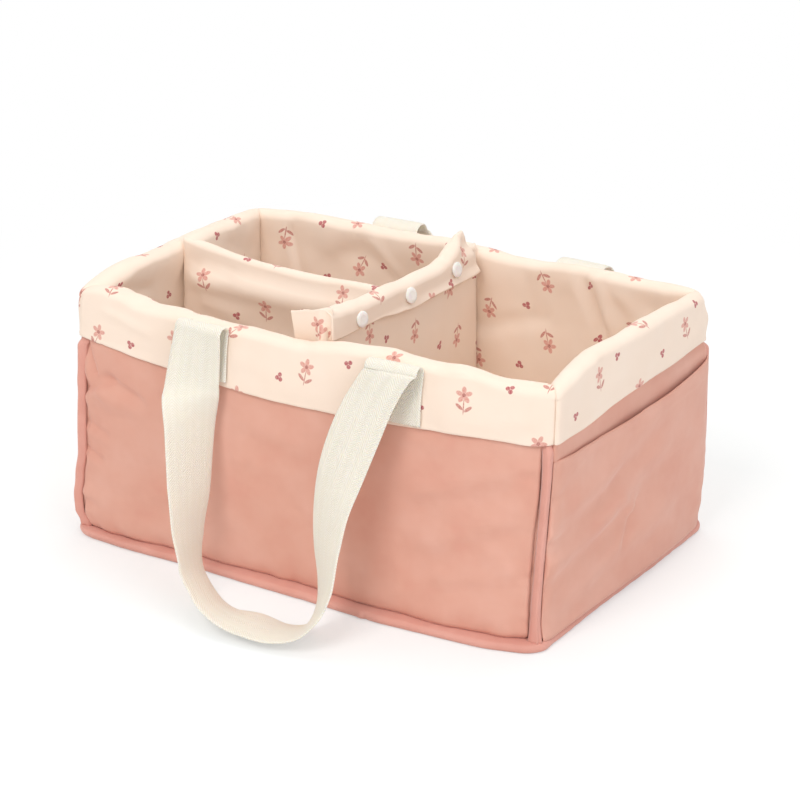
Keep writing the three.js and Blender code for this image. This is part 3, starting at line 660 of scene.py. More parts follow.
def fibre_mass(tree, dark, light, scale, roughness):
    """Matted fibres, of wadding or of grey board: fine noise over colour and height."""
    place = node(tree, "TexCoord").outputs["Object"]
    noise = node(tree, "TexNoise", {"Vector": place, "Scale": scale, "Detail": 6.0, "Distortion": 1.5})
    tone = node(tree, "Mix", {"Factor": noise, 6: linear(dark), 7: linear(light)}, data_type="RGBA")
    bump = node(tree, "Bump", {"Height": noise, "Strength": 0.6, "Distance": 0.0008})
    return node(tree, "BsdfPrincipled", {"Base Color": tone.outputs[2], "Roughness": roughness, "Normal": bump})


ROSE = new_material("rose_cotton_poplin", cotton_poplin, "#e0a996", "#dda28f", "#e3af9d")
# A darker, redder copy of the rose poplin for the corner strips, the base seam roll and the base skin: painted
# shade on pieces that sit in the corners and at the foot
ROSE_PAINTED_SHADE = new_material("rose_cotton_painted_shade", cotton_poplin, "#dfa394", "#db9d8e", "#e3aa9c")
PRINT = new_material("printed_cotton_poplin", printed_cotton)
WEBBING = new_material("herringbone_cotton_webbing", cotton_webbing)
RESIN = new_material("white_acetal_resin", acetal_resin)
WADDING = new_material("polyester_wadding", fibre_mass, "#e9e6df", "#f8f7f3", 380.0, 1.0)
BOARD = new_material("grey_board", fibre_mass, "#b39f7c", "#cbb994", 240.0, 0.9)


# ---- Camera, fitted to the photograph, and light ----

def aim(data, place, target):
    """Puts a camera or a lamp at a place and points it at a target."""
    thing = new_object(data.name, data)
    thing.location = place
    thing.rotation_euler = (Vector(target) - Vector(place)).to_track_quat("-Z", "Y").to_euler()
    return thing


def add_camera(place, target, lens):
    """The scene's camera."""
    data = bpy.data.cameras.new("camera")
    data.lens, data.sensor_width = lens, 36
    bpy.context.scene.camera = aim(data, place, target)


def add_softbox(name, place, size, power, colour):
    """A square area light that faces the caddy."""
    data = bpy.data.lights.new(name, "AREA")
    data.size, data.energy, data.color = size, power, linear(colour)[:3]
    aim(data, place, (0, 0, 0.1))


# Strength of the sky as light; the camera sees it at full strength
SKY = 0.59


def sweep(tree):
    """The floor: white paper that darkens in the object's shadow, and pure white further away."""
    path = node(tree, "LightPath").outputs
    lit = node(tree, "BsdfDiffuse", {"Color": linear("#f1f0ef")})
    matt = node(tree, "BsdfDiffuse", {"Color": linear("#cdd0d0")})
    glow = node(tree, "Emission", {"Color": linear("#ffffff"), "Strength": 0.38})
    both = node(tree, "AddShader", [matt, glow])
    white = node(tree, "Emission", {"Color": linear("#ffffff"), "Strength": 1.0})
    place = node(tree, "TexCoord").outputs["Object"]
    away = node(tree, "VectorMath", [place], operation="LENGTH").outputs["Value"]
    far = node(tree, "MapRange", {"Value": away, "From Min": 0.32, "From Max": 0.8})
    both = node(tree, "MixShader", [far, both, white])
    return node(tree, "MixShader", [path["Is Camera Ray"], lit, both])


def add_surroundings():
    """White surroundings: the sky shows pure white to the camera and to gloss, over the sweep."""
    world = bpy.data.worlds.new("studio")
    bpy.context.scene.world = world
    world.use_nodes = True
    tree = world.node_tree
    tree.nodes.clear()
    path = node(tree, "LightPath").outputs
    seen = node(tree, "Math", [path["Is Camera Ray"], path["Is Glossy Ray"]], operation="MAXIMUM")
    seen = node(tree, "Math", [seen, path["Is Transmission Ray"]], operation="MAXIMUM")
    strength = node(tree, "MapRange", {"Value": seen, "To Min": SKY, "To Max": 1.0})
    sky = node(tree, "Background", {"Color": linear("#ffffff"), "Strength": strength})
    node(tree, "OutputWorld", {"Surface": sky})

    mesh = bpy.data.meshes.new("floor")
    mesh.from_pydata([(-6, -6, 0), (6, -6, 0), (6, 6, 0), (-6, 6, 0)], [], [(0, 1, 2, 3)])
    mesh.materials.append(new_material("white_sweep", sweep))
    new_object("floor", mesh)


add_camera((0.84184, -1.35767, 0.74682), (0.0066, 0, 0.1028), 108)
add_softbox("key_light", (0.0, -1.8, 2.05), 1.1, 24, "#fffcfa")
add_softbox("fill_light", (2.0, -0.8, 1.3), 1.6, 12, "#f3f8ff")
add_softbox("top_light", (-0.1, 0.6, 2.2), 1.5, 15, "#fffaf5")
add_surroundings()
bpy.context.scene.view_settings.view_transform = "Standard"


# ---- Walls ----

def spread(count, dense=0.0):
    """Shares from -1 to 1, closer together towards the ends by the dense amount."""
    t = np.linspace(-1, 1, count)
    return (1 - dense) * t + dense * np.sin(t * PI / 2)


def own_share(wall, step, dense):
    """Shares along a wall for columns of about a step in mm."""
    return spread(int(2 * wall.half / step), dense)[:, None]


def inner_depth(wall, share, z, base):
    """Depth of the lining inside the wall: relief, puckers at the corners, gathers under the rim, the brim."""
    a = own_axis(wall, share)
    from_corner = (1 - np.abs(share)) * wall.half
    calm = smooth((z - WALL_FOOT) / 25) * smooth(from_corner / 16)
    hang = gathers(a, base - z, 13, 13, 1.6, 92) * calm
    seam = 1.6 * np.exp(-from_corner / 2.2)
    relief = lining_relief(wall, a, z) * calm * 0.8 + gathers(z, from_corner, 14, 12, 1.0, 91)
    return LINING_DEPTH + relief + hang - 0.6 * calm - brim(wall, share, z, base) + seam


def add_outer_panel(wall):
    """The cotton face of a wall: middle surface at its depth plus swell and relief, from the base seam up
    under the cuff; and the wadding behind it."""
    name = wall.name
    share = own_share(wall, 1.7, 0.6)
    crown = rim_height(wall, share) - ARCH
    z = mix(PANEL_FOOT, crown - 1.4, np.linspace(0, 1, 96)[None])
    a = own_axis(wall, share) * (wall.half + PANEL_FACE) / wall.half
    tuck = 2.4 * np.exp(-(z - PANEL_FOOT) / 1.3)
    relief = panel_relief(wall, a, z) + swell(wall, share, z) - tuck
    middle = settle(wall_point(wall, share, PANEL_MIDDLE + relief, z))
    uv = vectors(a, z)
    panel = add_cloth(f"{name}_cotton_panel", middle, PANEL, uv, ROSE)
    finish_piece(panel, [f"{name}_outer_panel"])
    face = settle(wall_point(wall, share, FOAM_OUT + relief, z))[::4, ::4]
    hollow = inner_depth(wall, share, z, crown - LINING / 2) + 2.2
    inside = settle(wall_point(wall, share, np.minimum(hollow, FOAM_OUT + relief - 1.5), z))[::4, ::4]
    wadding = add_sheet(f"{name}_wall_wadding", face, inside, uv[::4, ::4], WADDING)
    finish_piece(wadding, [f"{name}_foam"])


def add_lining(wall):
    """One printed panel: up the padded inside, over the rim on a rounded arch and down outside to the hem."""
    name = wall.name
    share = own_share(wall, 2.4, 0.3)
    a = own_axis(wall, share)
    arch = ARCH + mottles(a, 0, [(0.8, 33, 1, 9), (0.35, 12, 1, 7)])
    base = rim_height(wall, share) - LINING / 2 - arch
    from_corner = (1 - np.abs(share)) * wall.half
    near_corner = np.exp(-from_corner / 2.0)
    ear = mix(*wall.ears, (share + 1) / 2) * np.exp(-from_corner / 8.0)

    z_in = mix(WALL_FOOT, base, np.linspace(0, 1, 58)[None] ** 0.85)
    depth_in = inner_depth(wall, share, z_in, base)

    angle = np.linspace(0, PI, 20)[None, 1:-1]
    outer_side = (1 - np.cos(angle)) / 2
    shift = mix(depth_in[:, -1:] - LINING_DEPTH, swell(wall, share, base), outer_side)
    z_arch = base + arch * np.sin(angle) * (1 - 0.10 * near_corner) - ear * outer_side ** 2
    depth_arch = LINING_DEPTH + 2 * arch * outer_side + shift - 0.5 * ear * outer_side ** 2

    down = np.linspace(0, 1, 26)[None]
    z_out = mix(base - ear, hem_height(wall, share), down)
    relief = cuff_relief(wall, a, z_out) * smooth(down * 3) + panel_relief(wall, a, z_out)
    flare = 0.5 * down ** 3 * (1 - 0.5 * np.abs(share) ** 8)
    fold = 2 * mix(arch, ARCH, down)
    depth_out = LINING_DEPTH + fold + swell(wall, share, z_out) + relief + flare
    depth_out = depth_out - 0.8 * near_corner - 0.5 * ear * np.exp(-5 * down)

    depth = np.concatenate([depth_in, depth_arch, depth_out], 1)
    middle = settle(wall_point(wall, share, depth, np.concatenate([z_in, z_arch, z_out], 1)))
    path = run_of(middle)
    uv = vectors(share * (wall.half + depth * 0.9) + wall.uv_shift, path[:, -1:] - path)
    lining = add_cloth(f"{name}_lining", middle, LINING, uv, PRINT)
    finish_piece(lining, [f"{name}_lining_cuff"])


for each_wall in WALLS.values():
    add_outer_panel(each_wall)
    add_lining(each_wall)


# ---- Base ----

def add_floor_layer(name, inset, bottom, thickness, finish, node_name, puff, seed):
    """A layer over the plan of the box, its long edges bowed with the walls: flat with soft lumps."""
    share = np.linspace(-1, 1, 120)[:, None]
    across = np.linspace(-1, 1, 70)[None]
    half_y = INNER_HALF_WIDTH + LEAN * (1 - bottom / RIM) + BOW * (1 - share ** 2) - inset
    x, y = share * (INNER_HALF_LENGTH - inset), across * half_y
    edge = smooth((1 - np.abs(share)) * 18) * smooth((1 - np.abs(across)) * 12)
    lumps = puff * edge * (0.6 + 0.4 * mottle(x, y, 40, 40, seed))
    high, low = vectors(x, y, bottom + thickness + lumps), vectors(x, y, bottom)
    layer = add_sheet(name, high, low, vectors(x, y + 400), finish)
    finish_piece(layer, [node_name])
    return layer


PLATE_INSET = 4.3
# The base skin takes the darker rose copy: painted shade underneath the box
skin = add_floor_layer("base_skin", PLATE_INSET, 0.0, 1.4, ROSE_PAINTED_SHADE, "base_outer_skin", 0, 31)
pad = add_floor_layer("base_wadding", PLATE_INSET, 4.6, 4.2, WADDING, "base_foam", 0, 32)
floor_lining = add_floor_layer(
    "floor_lining", 0.6, WALL_FOOT, 1.2, PRINT, "base_lining", 1.1, 33)
# The stiff board keeps its solid from the frame
board = bpy.data.objects["base_board"].data
board.materials.clear()
board.materials.append(BOARD)


def rounded_plan(half_x, half_y, radius, bow, step):
    """Rounded rectangle whose long sides bow outward, as points about a step apart."""
    side = np.linspace(-1, 1, int(2 * half_x / step))[:-1]
    front = vectors(side * (half_x - radius), -half_y - bow * (1 - side ** 2))
    quarter = np.linspace(0, PI / 2, 14)[:-1]
    across, along = radius * np.sin(quarter), radius * np.cos(quarter)
    corner = vectors(half_x - radius + across, radius - half_y - along)
    end = np.linspace(-1, 1, int(2 * half_y / step))[:-1]
    right = vectors(half_x, end * (half_y - radius))
    back = vectors(half_x - radius + along, half_y - radius + across)
    half = np.concatenate([front, corner, right, back])
    return np.concatenate([half, -half])


def add_base_seam():
    """The rolled base seam: a piped roll about a flat seat under the walls, with small puckers all round and
    one overlap where the strip's ends meet."""
    outer = rounded_plan(190.7, 121.9, 16, 10.5, 2.0)
    inner_x, inner_y = INNER_HALF_LENGTH - 4, INNER_HALF_WIDTH + LEAN - 4
    x = np.clip(outer[:, 0] * inner_x / 188, -inner_x, inner_x)
    bowed = inner_y + BOW * (1 - (x / inner_x) ** 2)
    inner = vectors(x, np.clip(outer[:, 1], -bowed, bowed))
    toward = unit(outer - inner)
    run = run_of(np.concatenate([outer, outer[:1]]))
    s = run[:-1]
    radius = 3.4
    angle = np.linspace(0, PI, 15)[None]
    overlap = bells(outer[:, 0], [(1.2, 58, 2.2), (-1.0, 62, 1.4)]) * (outer[:, 1] < 0)
    pucker = mottles(s, 0, [(0.4, 6, 1, 34), (0.4, 23, 1, 35)]) + overlap
    reach = (radius + pucker)[:, None] * np.sin(angle) ** 0.9
    xy = (outer - toward * radius)[:, None] + toward[:, None] * reach[..., None]
    z = 3.1 * (1 - np.cos(angle)) + 0.35 * np.sin(angle / 2) ** 2 * mottle(s, 0, 9, 1, 36)[:, None]
    z = np.clip(z, 0, None)
    z[:, 0] = 0
    foot, head = vectors(*inner.T, 0)[:, None], vectors(*inner.T, WALL_FOOT - 0.3)[:, None]
    ledge = vectors(*(outer - toward * 15).T, 5.6)[:, None]
    sections = settle(np.concatenate([foot, vectors(xy[..., 0], xy[..., 1], z), ledge, head], 1))
    girth = np.append(run_of(sections[0]), 40.0)
    # The roll takes the darker rose copy: painted shade at the foot
    seam = add_loop("base_seam_roll", sections, vectors(run[:, None], girth[None]), ROSE_PAINTED_SHADE)
    finish_piece(seam, ["base_flange"])


add_base_seam()


# ---- Corner bindings and pockets ----

def add_binding(name, wall, sign, seed):
    """A folded strip up a corner: rounded across, its free edge raised, and spread in pleats at its foot."""
    rise = np.linspace(0, 1, 110)[:, None]
    across = np.linspace(0, 1, 15)[None]
    climb = rise * 138
    foot = np.exp(-climb / 8)
    width = STRIP + 1.2 * smooth(rise * 3 - 2) + 3.6 * foot + 0.4 * mottle(climb, 0, 17, 1, seed)
    share = sign * (1 - (1 - across) * width / (wall.half + PANEL_FACE))
    top = hem_height(wall, share) + 1.5
    z = mix(PANEL_FOOT - 0.2, top, rise)
    under = PANEL_FACE - 0.85 + swell(wall, share, z) - 2.6 * smooth((z - top + 9) / 8)
    round_off = 1 - np.abs(2 * across - 1) ** 3
    pleats = 0.55 * np.sin(across * 5 * PI + 0.6) * foot + 0.3 * np.sin(across * 2 * PI)
    thick = 1.2 + 2.0 * round_off + pleats + 0.2 * mottle(climb, across * 8, 9, 6, seed + 1)
    face, back = (settle(wall_point(wall, share, under + over, z)) for over in (thick, -0.2))
    # The strip takes the darker rose copy: painted shade in the corner
    strip = add_sheet(name + "_strip", face, back, vectors(across * width, z), ROSE_PAINTED_SHADE, edge=0.5)
    finish_piece(strip, [name])


for corner_key, corner_wall, corner_sign, corner_seed in (
        ("front_left", "front", -1, 101), ("front_right", "front", 1, 103),
        ("back_right", "back", -1, 105), ("back_left", "back", 1, 107)):
    add_binding(f"corner_binding_{corner_key}", WALLS[corner_wall], corner_sign, corner_seed)


def add_pocket(wall, seed):
    """A patch pocket: sewn down at its sides and foot, gaping a little along its folded top edge."""
    share = spread(108, 0.35)[:, None]
    rise = np.linspace(0, 1, 76)[None] ** 0.9
    half_span = wall.half + PANEL_FACE - 0.2
    y = wall.way * share * half_span
    to_back = (1 + wall.way * share) / 2
    across = 1 - np.abs(share) ** 8
    top = hem_line(wall, share) - mix(13.2, 13.5, to_back) - 5.6 * (1 - share ** 2)
    top = top + 0.35 * mottle(y, 0, 15, 1, seed + 2) * across
    z = mix(PANEL_FOOT, top, rise)
    gape = across * (1 - (1 - rise) ** 9) * mix(0.4, 1.7, to_back ** 1.5)
    relief = right_relief(y, z) if wall.name == "right" else 0.8 * plain_relief(y, z, seed, END_SEAM)
    crown = 1.5 * (1 - share ** 2) * np.clip(np.sin(PI * np.clip(rise + 0.25, 0, 1)), 0, 1)
    drape = 0.4 * np.exp(-(top - z) / 3.0) * mottle(y, 0, 18, 1, seed + 5)
    body = relief * smooth(rise * 6) * smooth((1 - np.abs(share)) * 50)
    edge = smooth((1 - np.abs(share)) * half_span / 9)
    depth = PANEL_FACE + 0.3 + 1.05 * edge + gape + crown + body + drape
    middle = settle(wall_place(wall, share * half_span, depth, z))
    hem = (1.4 + 0.7 * smooth((z - top + 11) / 1.5)) * mix(0.5, 1.0, edge)
    pocket = add_cloth(f"{wall.name}_pocket", middle, hem, vectors(y, z), ROSE, edge=0.45)
    finish_piece(pocket, [f"{wall.name}_pocket_panel"])


add_pocket(WALLS["right"], 111)
add_pocket(WALLS["left"], 117)


# ---- Dividers ----

DIVIDER_FOOT = 11.4
CROSS_HALF = 104
LONG_END = 177.2
# Height of the band's crest along y
BAND_CREST = [(-104, 202.0), (-84, 199.4), (-70, 197.2), (-51, 195.2), (-19, 194.8), (1, 192.8), (17, 192.6),
              (42, 191.6), (56, 194.0), (63, 197.6), (70, 200.8), (81, 205.0), (92, 206.0), (104, 206.0)]


def add_divider(name, place, top, front_face, back_face, columns, uv_shift):
    """A padded divider: the cotton cover goes up one face, over the top in a half-turn and down the other, round
    a slice of wadding. The faces are offsets over run (along the divider) and height."""
    run = columns[:, None]
    up = np.linspace(0, 1, 40)[None]
    turn = np.linspace(0, PI, 18)[None, 1:-1]
    crest = top(run)
    edge_front, edge_back = front_face(run, crest), back_face(run, crest)
    radius = (edge_back - edge_front) / 2
    base = crest - 0.8 * radius
    z_up, z_down = mix(DIVIDER_FOOT, base, up), mix(DIVIDER_FOOT, base, up[:, ::-1])
    arc_offset = (edge_front + edge_back) / 2 - radius * np.cos(turn)
    offset = np.concatenate([front_face(run, z_up), arc_offset, back_face(run, z_down)], 1)
    z = np.concatenate([z_up, base + 0.8 * radius * np.sin(turn), z_down], 1)
    middle = place(run, offset, z)
    path = run_of(middle)
    uv = vectors(run + uv_shift[0], path + uv_shift[1])
    cover = add_cloth(f"{name}_cotton_cover", middle, 1.1, uv, PRINT)
    finish_piece(cover, [f"{name}_cover"])
    core = mix(run.mean(), run, 0.95)[::3]
    z_foam = mix(DIVIDER_FOOT, base - 0.8, np.linspace(0, 1, 24)[None])[::3]
    near, far = (place(core, face(core, z_foam) + inward, z_foam)
                 for face, inward in ((front_face, 2.6), (back_face, -2.6)))
    wadding = add_sheet(f"{name}_wadding", near, far, vectors(core, z_foam), WADDING)
    finish_piece(wadding, [f"{name}_foam"])


def cross_place(run, offset, z):
    """Cross divider: run is a share of its length in y between the two long walls, less a seam."""
    bowed = BOW * (1 - (offset / FRONT_WALL.half) ** 2)
    reach = INNER_HALF_WIDTH + bowed + LEAN * (1 - z / RIM) - 0.8
    return settle(vectors(offset, run / CROSS_HALF * reach, z))


def cross_top(run):
    """Top of the cross divider, just under the band's crest."""
    return np.minimum(through(run, BAND_CREST) - 4.6, 191.5)


def closed_end(away, face, middle):
    """A face that runs to the middle over the last 3.5 mm, where the cover is sewn shut at its end."""
    return mix(middle, face, smooth(away / 3.5) ** 0.5)


def cross_front(run, z):
    """Left face of the cross divider."""
    face = 4.6 + 0.5 * mottle(run, z, 34, 40, 121) * smooth((184 - z) / 30)
    return closed_end(CROSS_HALF - np.abs(run), face, 6.9)


def cross_back(run, z):
    """Right face of the cross divider, which sags in long upright waves between its ends."""
    low = smooth((176 - z) / 30)
    sag = 0.9 * np.cos(run / CROSS_HALF * PI / 2) + mottles(run, z, [(0.9, 30, 70, 122), (0.4, 13, 30, 123)])
    return closed_end(CROSS_HALF - np.abs(run), 9.9 + low * sag, 7.5)


add_divider("cross_divider", cross_place, cross_top, cross_front, cross_back,
            np.linspace(-CROSS_HALF, CROSS_HALF, 110), (1700.0, 9.0))


def long_place(run, offset, z):
    """Long divider: run is x, offset is y."""
    return settle(vectors(run, offset, z))


def long_top(run):
    """Crest of the long divider: rises to the left wall, with soft lumps."""
    return 186.0 + bells(run, [(8.5, -178, 36), (-1.5, -60, 30)]) + 0.7 * mottle(run, 0, 24, 1, 131)


def long_pinch(run):
    """Share of the padding's fullness, which is pinched at both ends."""
    return smooth((run + 180) / 26) * smooth((4 - run) / 26)


def long_end(run, face, middle):
    """The long divider's face, sewn shut at both ends."""
    return closed_end(np.minimum(run + LONG_END, 1 - run), face, middle)


def long_front(run, z):
    """Front face: the loose padding slumps forward in a soft roll under the crest, pinched at both ends."""
    pinch = long_pinch(run)
    fold_line = 170 + 1.6 * mottle(run, 0, 46, 1, 135)
    roll = through(z - fold_line, [(-80, 0), (-34, 2.0), (-15, 5.4), (-5, 9.4), (0, 9.0), (3.5, 5.2),
                                   (5.5, 1.4), (13, 0.2), (40, 0.0)]) * pinch
    roll = roll * (1 + 0.15 * mottle(run, 0, 40, 1, 132))
    belly = 2.0 * np.sin(PI * np.clip(z / 160, 0, 1)) * pinch
    folds = creases(run, z, [(-150, 150, -110, 138, 5, 1.1), (-90, 158, -40, 152, 6, 1.1)])
    folds = folds + 0.8 * mottle(run, z, 26, 26, 133) * pinch
    return long_end(run, -5.2 - roll - belly - folds * pinch, -2.8)


def long_back(run, z):
    """Back face: follows the slump towards the back near the top."""
    slump = 3.6 * smooth((z - 90) / 90) + 0.8 * mottle(run, z, 30, 30, 134)
    return long_end(run, 0.2 + slump * long_pinch(run), -2.2)


add_divider("long_divider", long_place, long_top, long_front, long_back,
            np.linspace(-LONG_END, 1.0, 120), (2100.0, 20.0))


# ---- Snap band ----

BAND_THICKNESS = 1.5
BAND_DROP = 5.0


def add_band():
    """One strip of cloth folded over the cross divider: a leg up its left side, a crest that sags and rises
    along it, and the flap down the right side. It bends across the crest."""
    y = np.linspace(-98.5, 92, 130)[:, None]
    crest = through(y, BAND_CREST) + 0.25 * mottle(y, 0, 9, 1, 141)
    low = through(y, [(-99, 181.0), (-84, 179.8), (-65, 179.6), (-40, 178.8), (-14, 175.8), (7, 173.8),
                      (35, 174.2), (64, 173.6), (84, 173.0), (93, 174.0)])
    shoulder = crest - BAND_DROP
    z_leg = mix(168.0, shoulder, np.linspace(0, 1, 14)[None])
    turn = np.linspace(0, PI, 20)[None, 1:-1]
    x_arch = 5.4 - np.where(turn < PI / 2, 2.5, 8.3) * np.cos(turn) + 0 * y
    down = np.linspace(0, 1, 22)[None]
    z_flap = mix(shoulder, low, down)
    ripple = 0.5 * mottle(y, z_flap, 17, 30, 142) * down
    flare = 2.2 * down ** 2 * mix(0.7, 1.2, smooth((y + 90) / 180))
    x_flap = 13.9 + 0.15 * down + flare * smooth((181 - z_flap) / 8) + ripple * smooth((178 - z_flap) / 4)
    x = np.concatenate([np.full(z_leg.shape, 2.9), x_arch, x_flap], 1)
    z = np.concatenate([z_leg, crest - BAND_DROP * (1 - np.sin(turn)), z_flap], 1)
    slant = smooth((y - 70) / 22) * mix(-7.0, 3.5, np.clip((204 - z) / 28, 0, 1))
    pinch = smooth((y - 66) / 20) * smooth((z - 187) / 11)
    middle = vectors(mix(x, 6.8 + 0.26 * (x - 6.8), pinch), y + slant, z)
    path = run_of(middle)
    uv = vectors(y + 2500.0, path[:, -1:] - path + 8.0)
    band = add_cloth("snap_band_strip", middle, BAND_THICKNESS, uv, PRINT, edge=0.45)
    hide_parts("snap_band", "snap_flap")
    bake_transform(band)


def add_tab():
    """The band's front end, turned along the inside of the front wall and rounded into the band."""
    across = np.linspace(0, 1, 40)[:, None]
    rise = np.linspace(0, 1, 26)[None]
    bend = smooth((across - 0.62) / 0.38)
    x = mix(-18.8, 11.5, across) + 1.5 * bend
    top = through(x, [(-19, 196.0), (-4, 199.2), (8, 202.2), (14, 203.0)])
    z = mix(171.0, top, rise)
    y = 1.6 - INNER_HALF_WIDTH - BOW + 5.4 * bend ** 2 + 0.5 * mottle(x, 0, 9, 1, 151)
    y = y + brim(FRONT_WALL, x / FRONT_WALL.half, z, 174.0) * (1 - 0.6 * bend)
    middle = vectors(x + 4.2 * (1 - rise) * (1 - across) ** 2, y, z)
    tab = add_cloth("snap_band_tab", middle, BAND_THICKNESS, vectors(x + 2700.0, z + 21.0), PRINT, edge=0.45)
    finish_piece(tab, ["band_front_tab"])


add_band()
add_tab()

CAP = [(5.2, 0.0), (5.75, 0.12), (5.8, 0.45), (5.65, 0.75), (5.2, 1.05), (4.4, 1.35), (3.4, 1.55), (2.9, 1.58),
       (2.6, 1.5), (1.6, 1.52), (0.6, 1.55)]
SOCKET = [(2.3, 0.0), (4.3, 0.0), (4.5, 0.2), (4.4, 0.55), (3.6, 0.7), (3.3, 0.9), (2.6, 0.9), (2.3, 0.7)]
STUD = [(4.0, 0.0), (4.2, 0.1), (4.2, 0.4), (4.0, 0.6), (2.1, 0.62), (1.55, 0.8), (1.7, 1.1), (1.7, 1.3),
        (1.4, 1.5), (0.5, 1.5)]
CAP_X, SOCKET_X, STUD_X, SNAP_Z, CAP_PITCH = 15.6, 12.0, 10.5, 183.5, 63.8
# How far each cap stands higher than its stud, and its tilt up and towards the front
CAP_REST = [(2.4, (0.16, 0.14)), (0.4, (0.24, 0.16)), (0.8, (0.20, 0.08))]
for number, (cap_lift, cap_tilt) in enumerate(CAP_REST, 1):
    snap_y = (number - 2) * CAP_PITCH
    cap = add_turned(f"stud_cap_{number}", CAP, (CAP_X, snap_y, SNAP_Z + cap_lift), RESIN, cap_tilt)
    finish_piece(cap, [f"snap_cap_{number}"], "flap")
    socket = add_ring(f"stud_socket_{number}", SOCKET, (SOCKET_X, snap_y, SNAP_Z), RESIN)
    finish_piece(socket, [f"snap_socket_{number}"], "flap")
    stud = add_turned(f"stud_post_{number}", STUD, (STUD_X, snap_y, SNAP_Z), RESIN)
    finish_piece(stud, [f"snap_stud_{number}"])


# ---- Webbing handles ----

WEB_WIDTH = 38.0
WEB = 1.7
REACH = 68.0
# Along the caddy, outward and downward as shares of half the spacing, the reach and the drop; the width's turn
# in half-turns and its rise
SPINE = np.array([
    (-1.018, 0.171, 0.232, 0.116, 0.149), (-0.984, 0.254, 0.279, 0.250, 0.085),
    (-0.950, 0.335, 0.388, 0.376, 0.106), (-0.853, 0.528, 0.609, 0.461, 0.127),
    (-0.777, 0.688, 0.762, 0.544, 0.073), (-0.664, 0.799, 0.885, 0.620, -0.025),
    (-0.465, 0.903, 0.950, 0.651, -0.143), (-0.228, 0.994, 0.980, 0.637, -0.177),
    (0.076, 1.006, 0.994, 0.581, -0.056), (0.363, 0.985, 1.004, 0.560, -0.133),
    (0.582, 0.906, 0.978, 0.595, -0.169), (0.679, 0.821, 0.904, 0.679, -0.109),
    (0.703, 0.738, 0.818, 0.745, -0.040), (0.652, 0.609, 0.677, 0.814, -0.015),
    (0.632, 0.480, 0.536, 0.880, -0.017), (0.675, 0.368, 0.397, 0.957, -0.002),
    (0.758, 0.271, 0.261, 0.983, -0.018), (0.863, 0.169, 0.130, 0.976, -0.049),
    (0.986, 0.096, 0.033, 0.995, -0.040)])


def hermite(a, b, tangent_out, tangent_in, t):
    """Cubic between two values with the given end tangents."""
    t2, t3 = t ** 2, t ** 3
    return mix(a, b, 3 * t2 - 2 * t3) + (t3 - 2 * t2 + t) * tangent_out + (t3 - t2) * tangent_in


def spline(points, spacing, per_span=24):
    """Catmull-Rom curve through points with the given knot spacing; spans are cut in equal shares."""
    padded = np.concatenate([[2 * points[0] - points[1]], points, [2 * points[-1] - points[-2]]])
    gaps = np.concatenate([spacing[:1], spacing, spacing[-1:]])[:, None]
    local = np.linspace(0, 1, per_span, endpoint=False)[:, None]
    rows = []
    for k in range(len(points) - 1):
        p0, p1, p2, p3 = padded[k:k + 4]
        d0, d1, d2 = gaps[k:k + 3]
        out = ((p1 - p0) / d0 - (p2 - p0) / (d0 + d1) + (p2 - p1) / d1) * d1
        into = ((p2 - p1) / d1 - (p3 - p1) / (d1 + d2) + (p3 - p2) / d2) * d1
        rows.append(hermite(p1, p2, out, into, local))
    return np.concatenate(rows + [points[-1:]])


def seat_rows(wall, along, fold, across):
    """Webbing sewn flat on the cuff, whose waves it follows, from the hem up, and over the first quarter of
    its fold, which is given by its height and radius."""
    height, radius = fold
    foot = hem_height(wall, along / wall.half) + 2.6
    z_leg = np.linspace(foot, height - radius, 26)[:, None]
    x = along + across[None] * WEB_WIDTH
    share = x / (wall.half + SEAT_DEPTH)
    down = np.clip((rim_height(wall, share) - ARCH - z_leg) / 32, 0, 1)
    a = own_axis(wall, share)
    wave = cuff_relief(wall, a, z_leg) * smooth(down * 3) + panel_relief(wall, a, z_leg) + 0.5 * down ** 3
    depth = SEAT_DEPTH + swell(wall, share, z_leg) + (wave + 0.25) * smooth((height - radius - z_leg) / 5)
    turn = np.linspace(0, PI / 2, 9)[1:, None]
    arch = wall_place(wall, x, SEAT_DEPTH + radius * (1 - np.cos(turn)), height - radius * (1 - np.sin(turn)))
    return np.concatenate([wall_place(wall, x, depth, z_leg), arch])


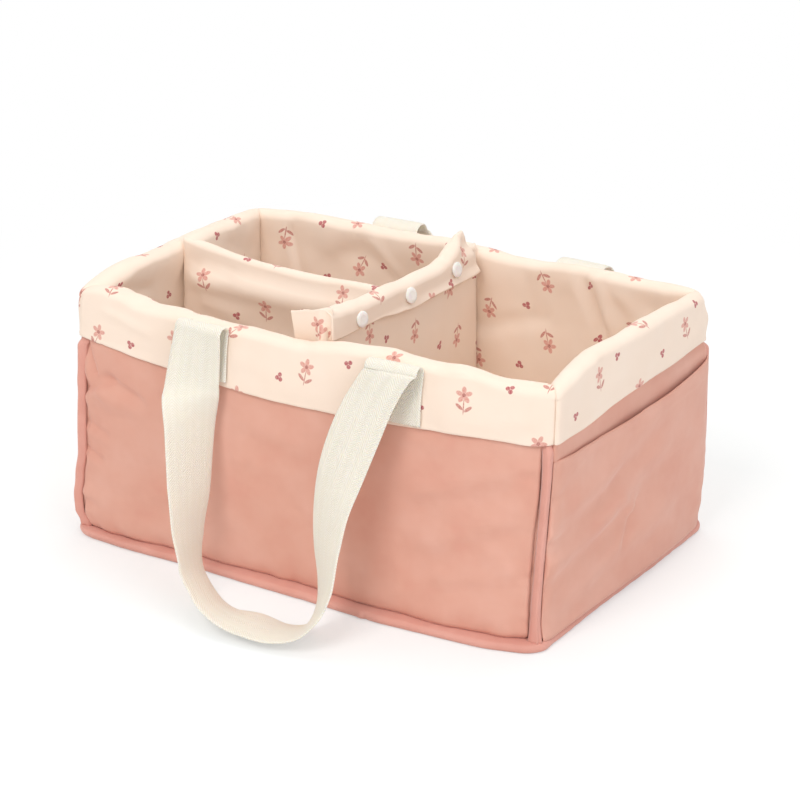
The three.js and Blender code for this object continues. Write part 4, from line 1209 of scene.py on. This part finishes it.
def loop_rows(wall, folds, shift, across):
    """The free loop: a quarter fold, the hanging ribbon on a spline with a turning width, a quarter fold."""
    slope = 2 * wall.bow * HANDLE_HALF / wall.half ** 2
    turn = np.linspace(0, PI / 2, 9)
    ends = []
    for sign, (height, radius) in zip((-1, 1), folds):
        out = turned_about_z(np.array([0.0, -1.0, 0.0]), wall.turn + sign * slope)
        crest = wall_place(wall, shift + sign * HANDLE_HALF, SEAT_DEPTH + radius + 0.15, height)
        spots = crest + out * (radius * np.sin(turn))[:, None] - vectors(0, 0, radius * (1 - np.cos(turn)))
        ends.append((spots, out * np.cos(turn)[:, None] - vectors(0, 0, np.sin(turn))))
    (start, start_tangent), (end, end_tangent) = ends
    spine_share = np.linspace(0, 1, len(SPINE))[:, None]
    crest_out = -turned_about_z(mix(start[0], end[0], spine_share), -wall.turn)[:, 1]
    height, radius = mix(*np.array(folds), spine_share).T
    side, reach, fall, half_turns, rise = SPINE.T
    outward = crest_out + (radius - 5) * np.exp(-fall * 5) + reach * REACH
    line = vectors(shift + side * HANDLE_HALF, -outward, height - fall * (height - 5.2))
    line = turned_about_z(line, wall.turn)
    line = np.concatenate([start[-1:], line, end[-1:]])
    turns = np.concatenate([[-slope], half_turns * PI, [PI + slope]])[:, None]
    gaps = np.sqrt(np.linalg.norm(np.diff(line, axis=0), axis=1))
    spots = spline(line, gaps)
    twist = spline(turns, np.ones(len(turns) - 1))[:, 0]
    lean = spline(np.pad(rise, 1)[:, None], np.ones(len(SPINE) + 1))[:, 0]
    tangents = unit(np.concatenate([start_tangent[1:-1], np.gradient(spots, axis=0), -end_tangent[-2:0:-1]]))
    spots = np.concatenate([start[1:-1], spots, end[-2:0:-1]])
    at_fold = len(turn) - 2
    twist = np.pad(twist, at_fold, constant_values=(-slope, PI + slope))
    width = turned_about_z(vectors(np.cos(twist), np.sin(twist), np.pad(lean, at_fold)), wall.turn)
    length = run_of(spots)
    square = smooth((np.minimum(length, length[-1] - length) - 12) / 60)[:, None]
    width = unit(width - square * tangents * np.sum(width * tangents, 1, keepdims=True))
    normal = unit(np.cross(tangents, width))
    over = across[None] * WEB_WIDTH
    cup = 1.1 * (1 - (2 * across[None]) ** 2) + 0.35 * mottle(length[:, None], over, 26, 30, 162)
    offset = cup * np.sin(PI * length / length[-1])[:, None]
    return spots[:, None] + width[:, None] * over[..., None] + normal[:, None] * offset[..., None]


def add_handle(wall, folds, shift):
    """One length of webbing: seat, loop and seat in one piece, bending across the hinge at its two folds,
    between the two distances from the middle and at the height that bend gives."""
    name = f"{wall.name}_handle"
    across = np.linspace(-0.5, 0.5, 21)
    first = seat_rows(wall, shift - HANDLE_HALF, folds[0], across)
    last = seat_rows(wall, shift + HANDLE_HALF, folds[1], across)[::-1, ::-1]
    middle = np.concatenate([first, loop_rows(wall, folds, shift, across), last])
    uv = vectors((across[None] + 0.5) * WEB_WIDTH, run_of(middle[:, 10])[:, None])
    selvedge = WEB * (1 - 0.35 * np.abs(2 * across[None]) ** 10)
    strap = add_cloth(f"{name}_webbing", middle, selvedge, uv, WEBBING, edge=0.5)
    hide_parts(name, f"{name}_seat_left", f"{name}_seat_right")
    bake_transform(strap)


add_handle(FRONT_WALL, ((183.2, 5.0), (185.4, 5.0)), 0.0)
add_handle(BACK_WALL, ((181.8, 15.0), (190.0, 8.5)), -6.0)
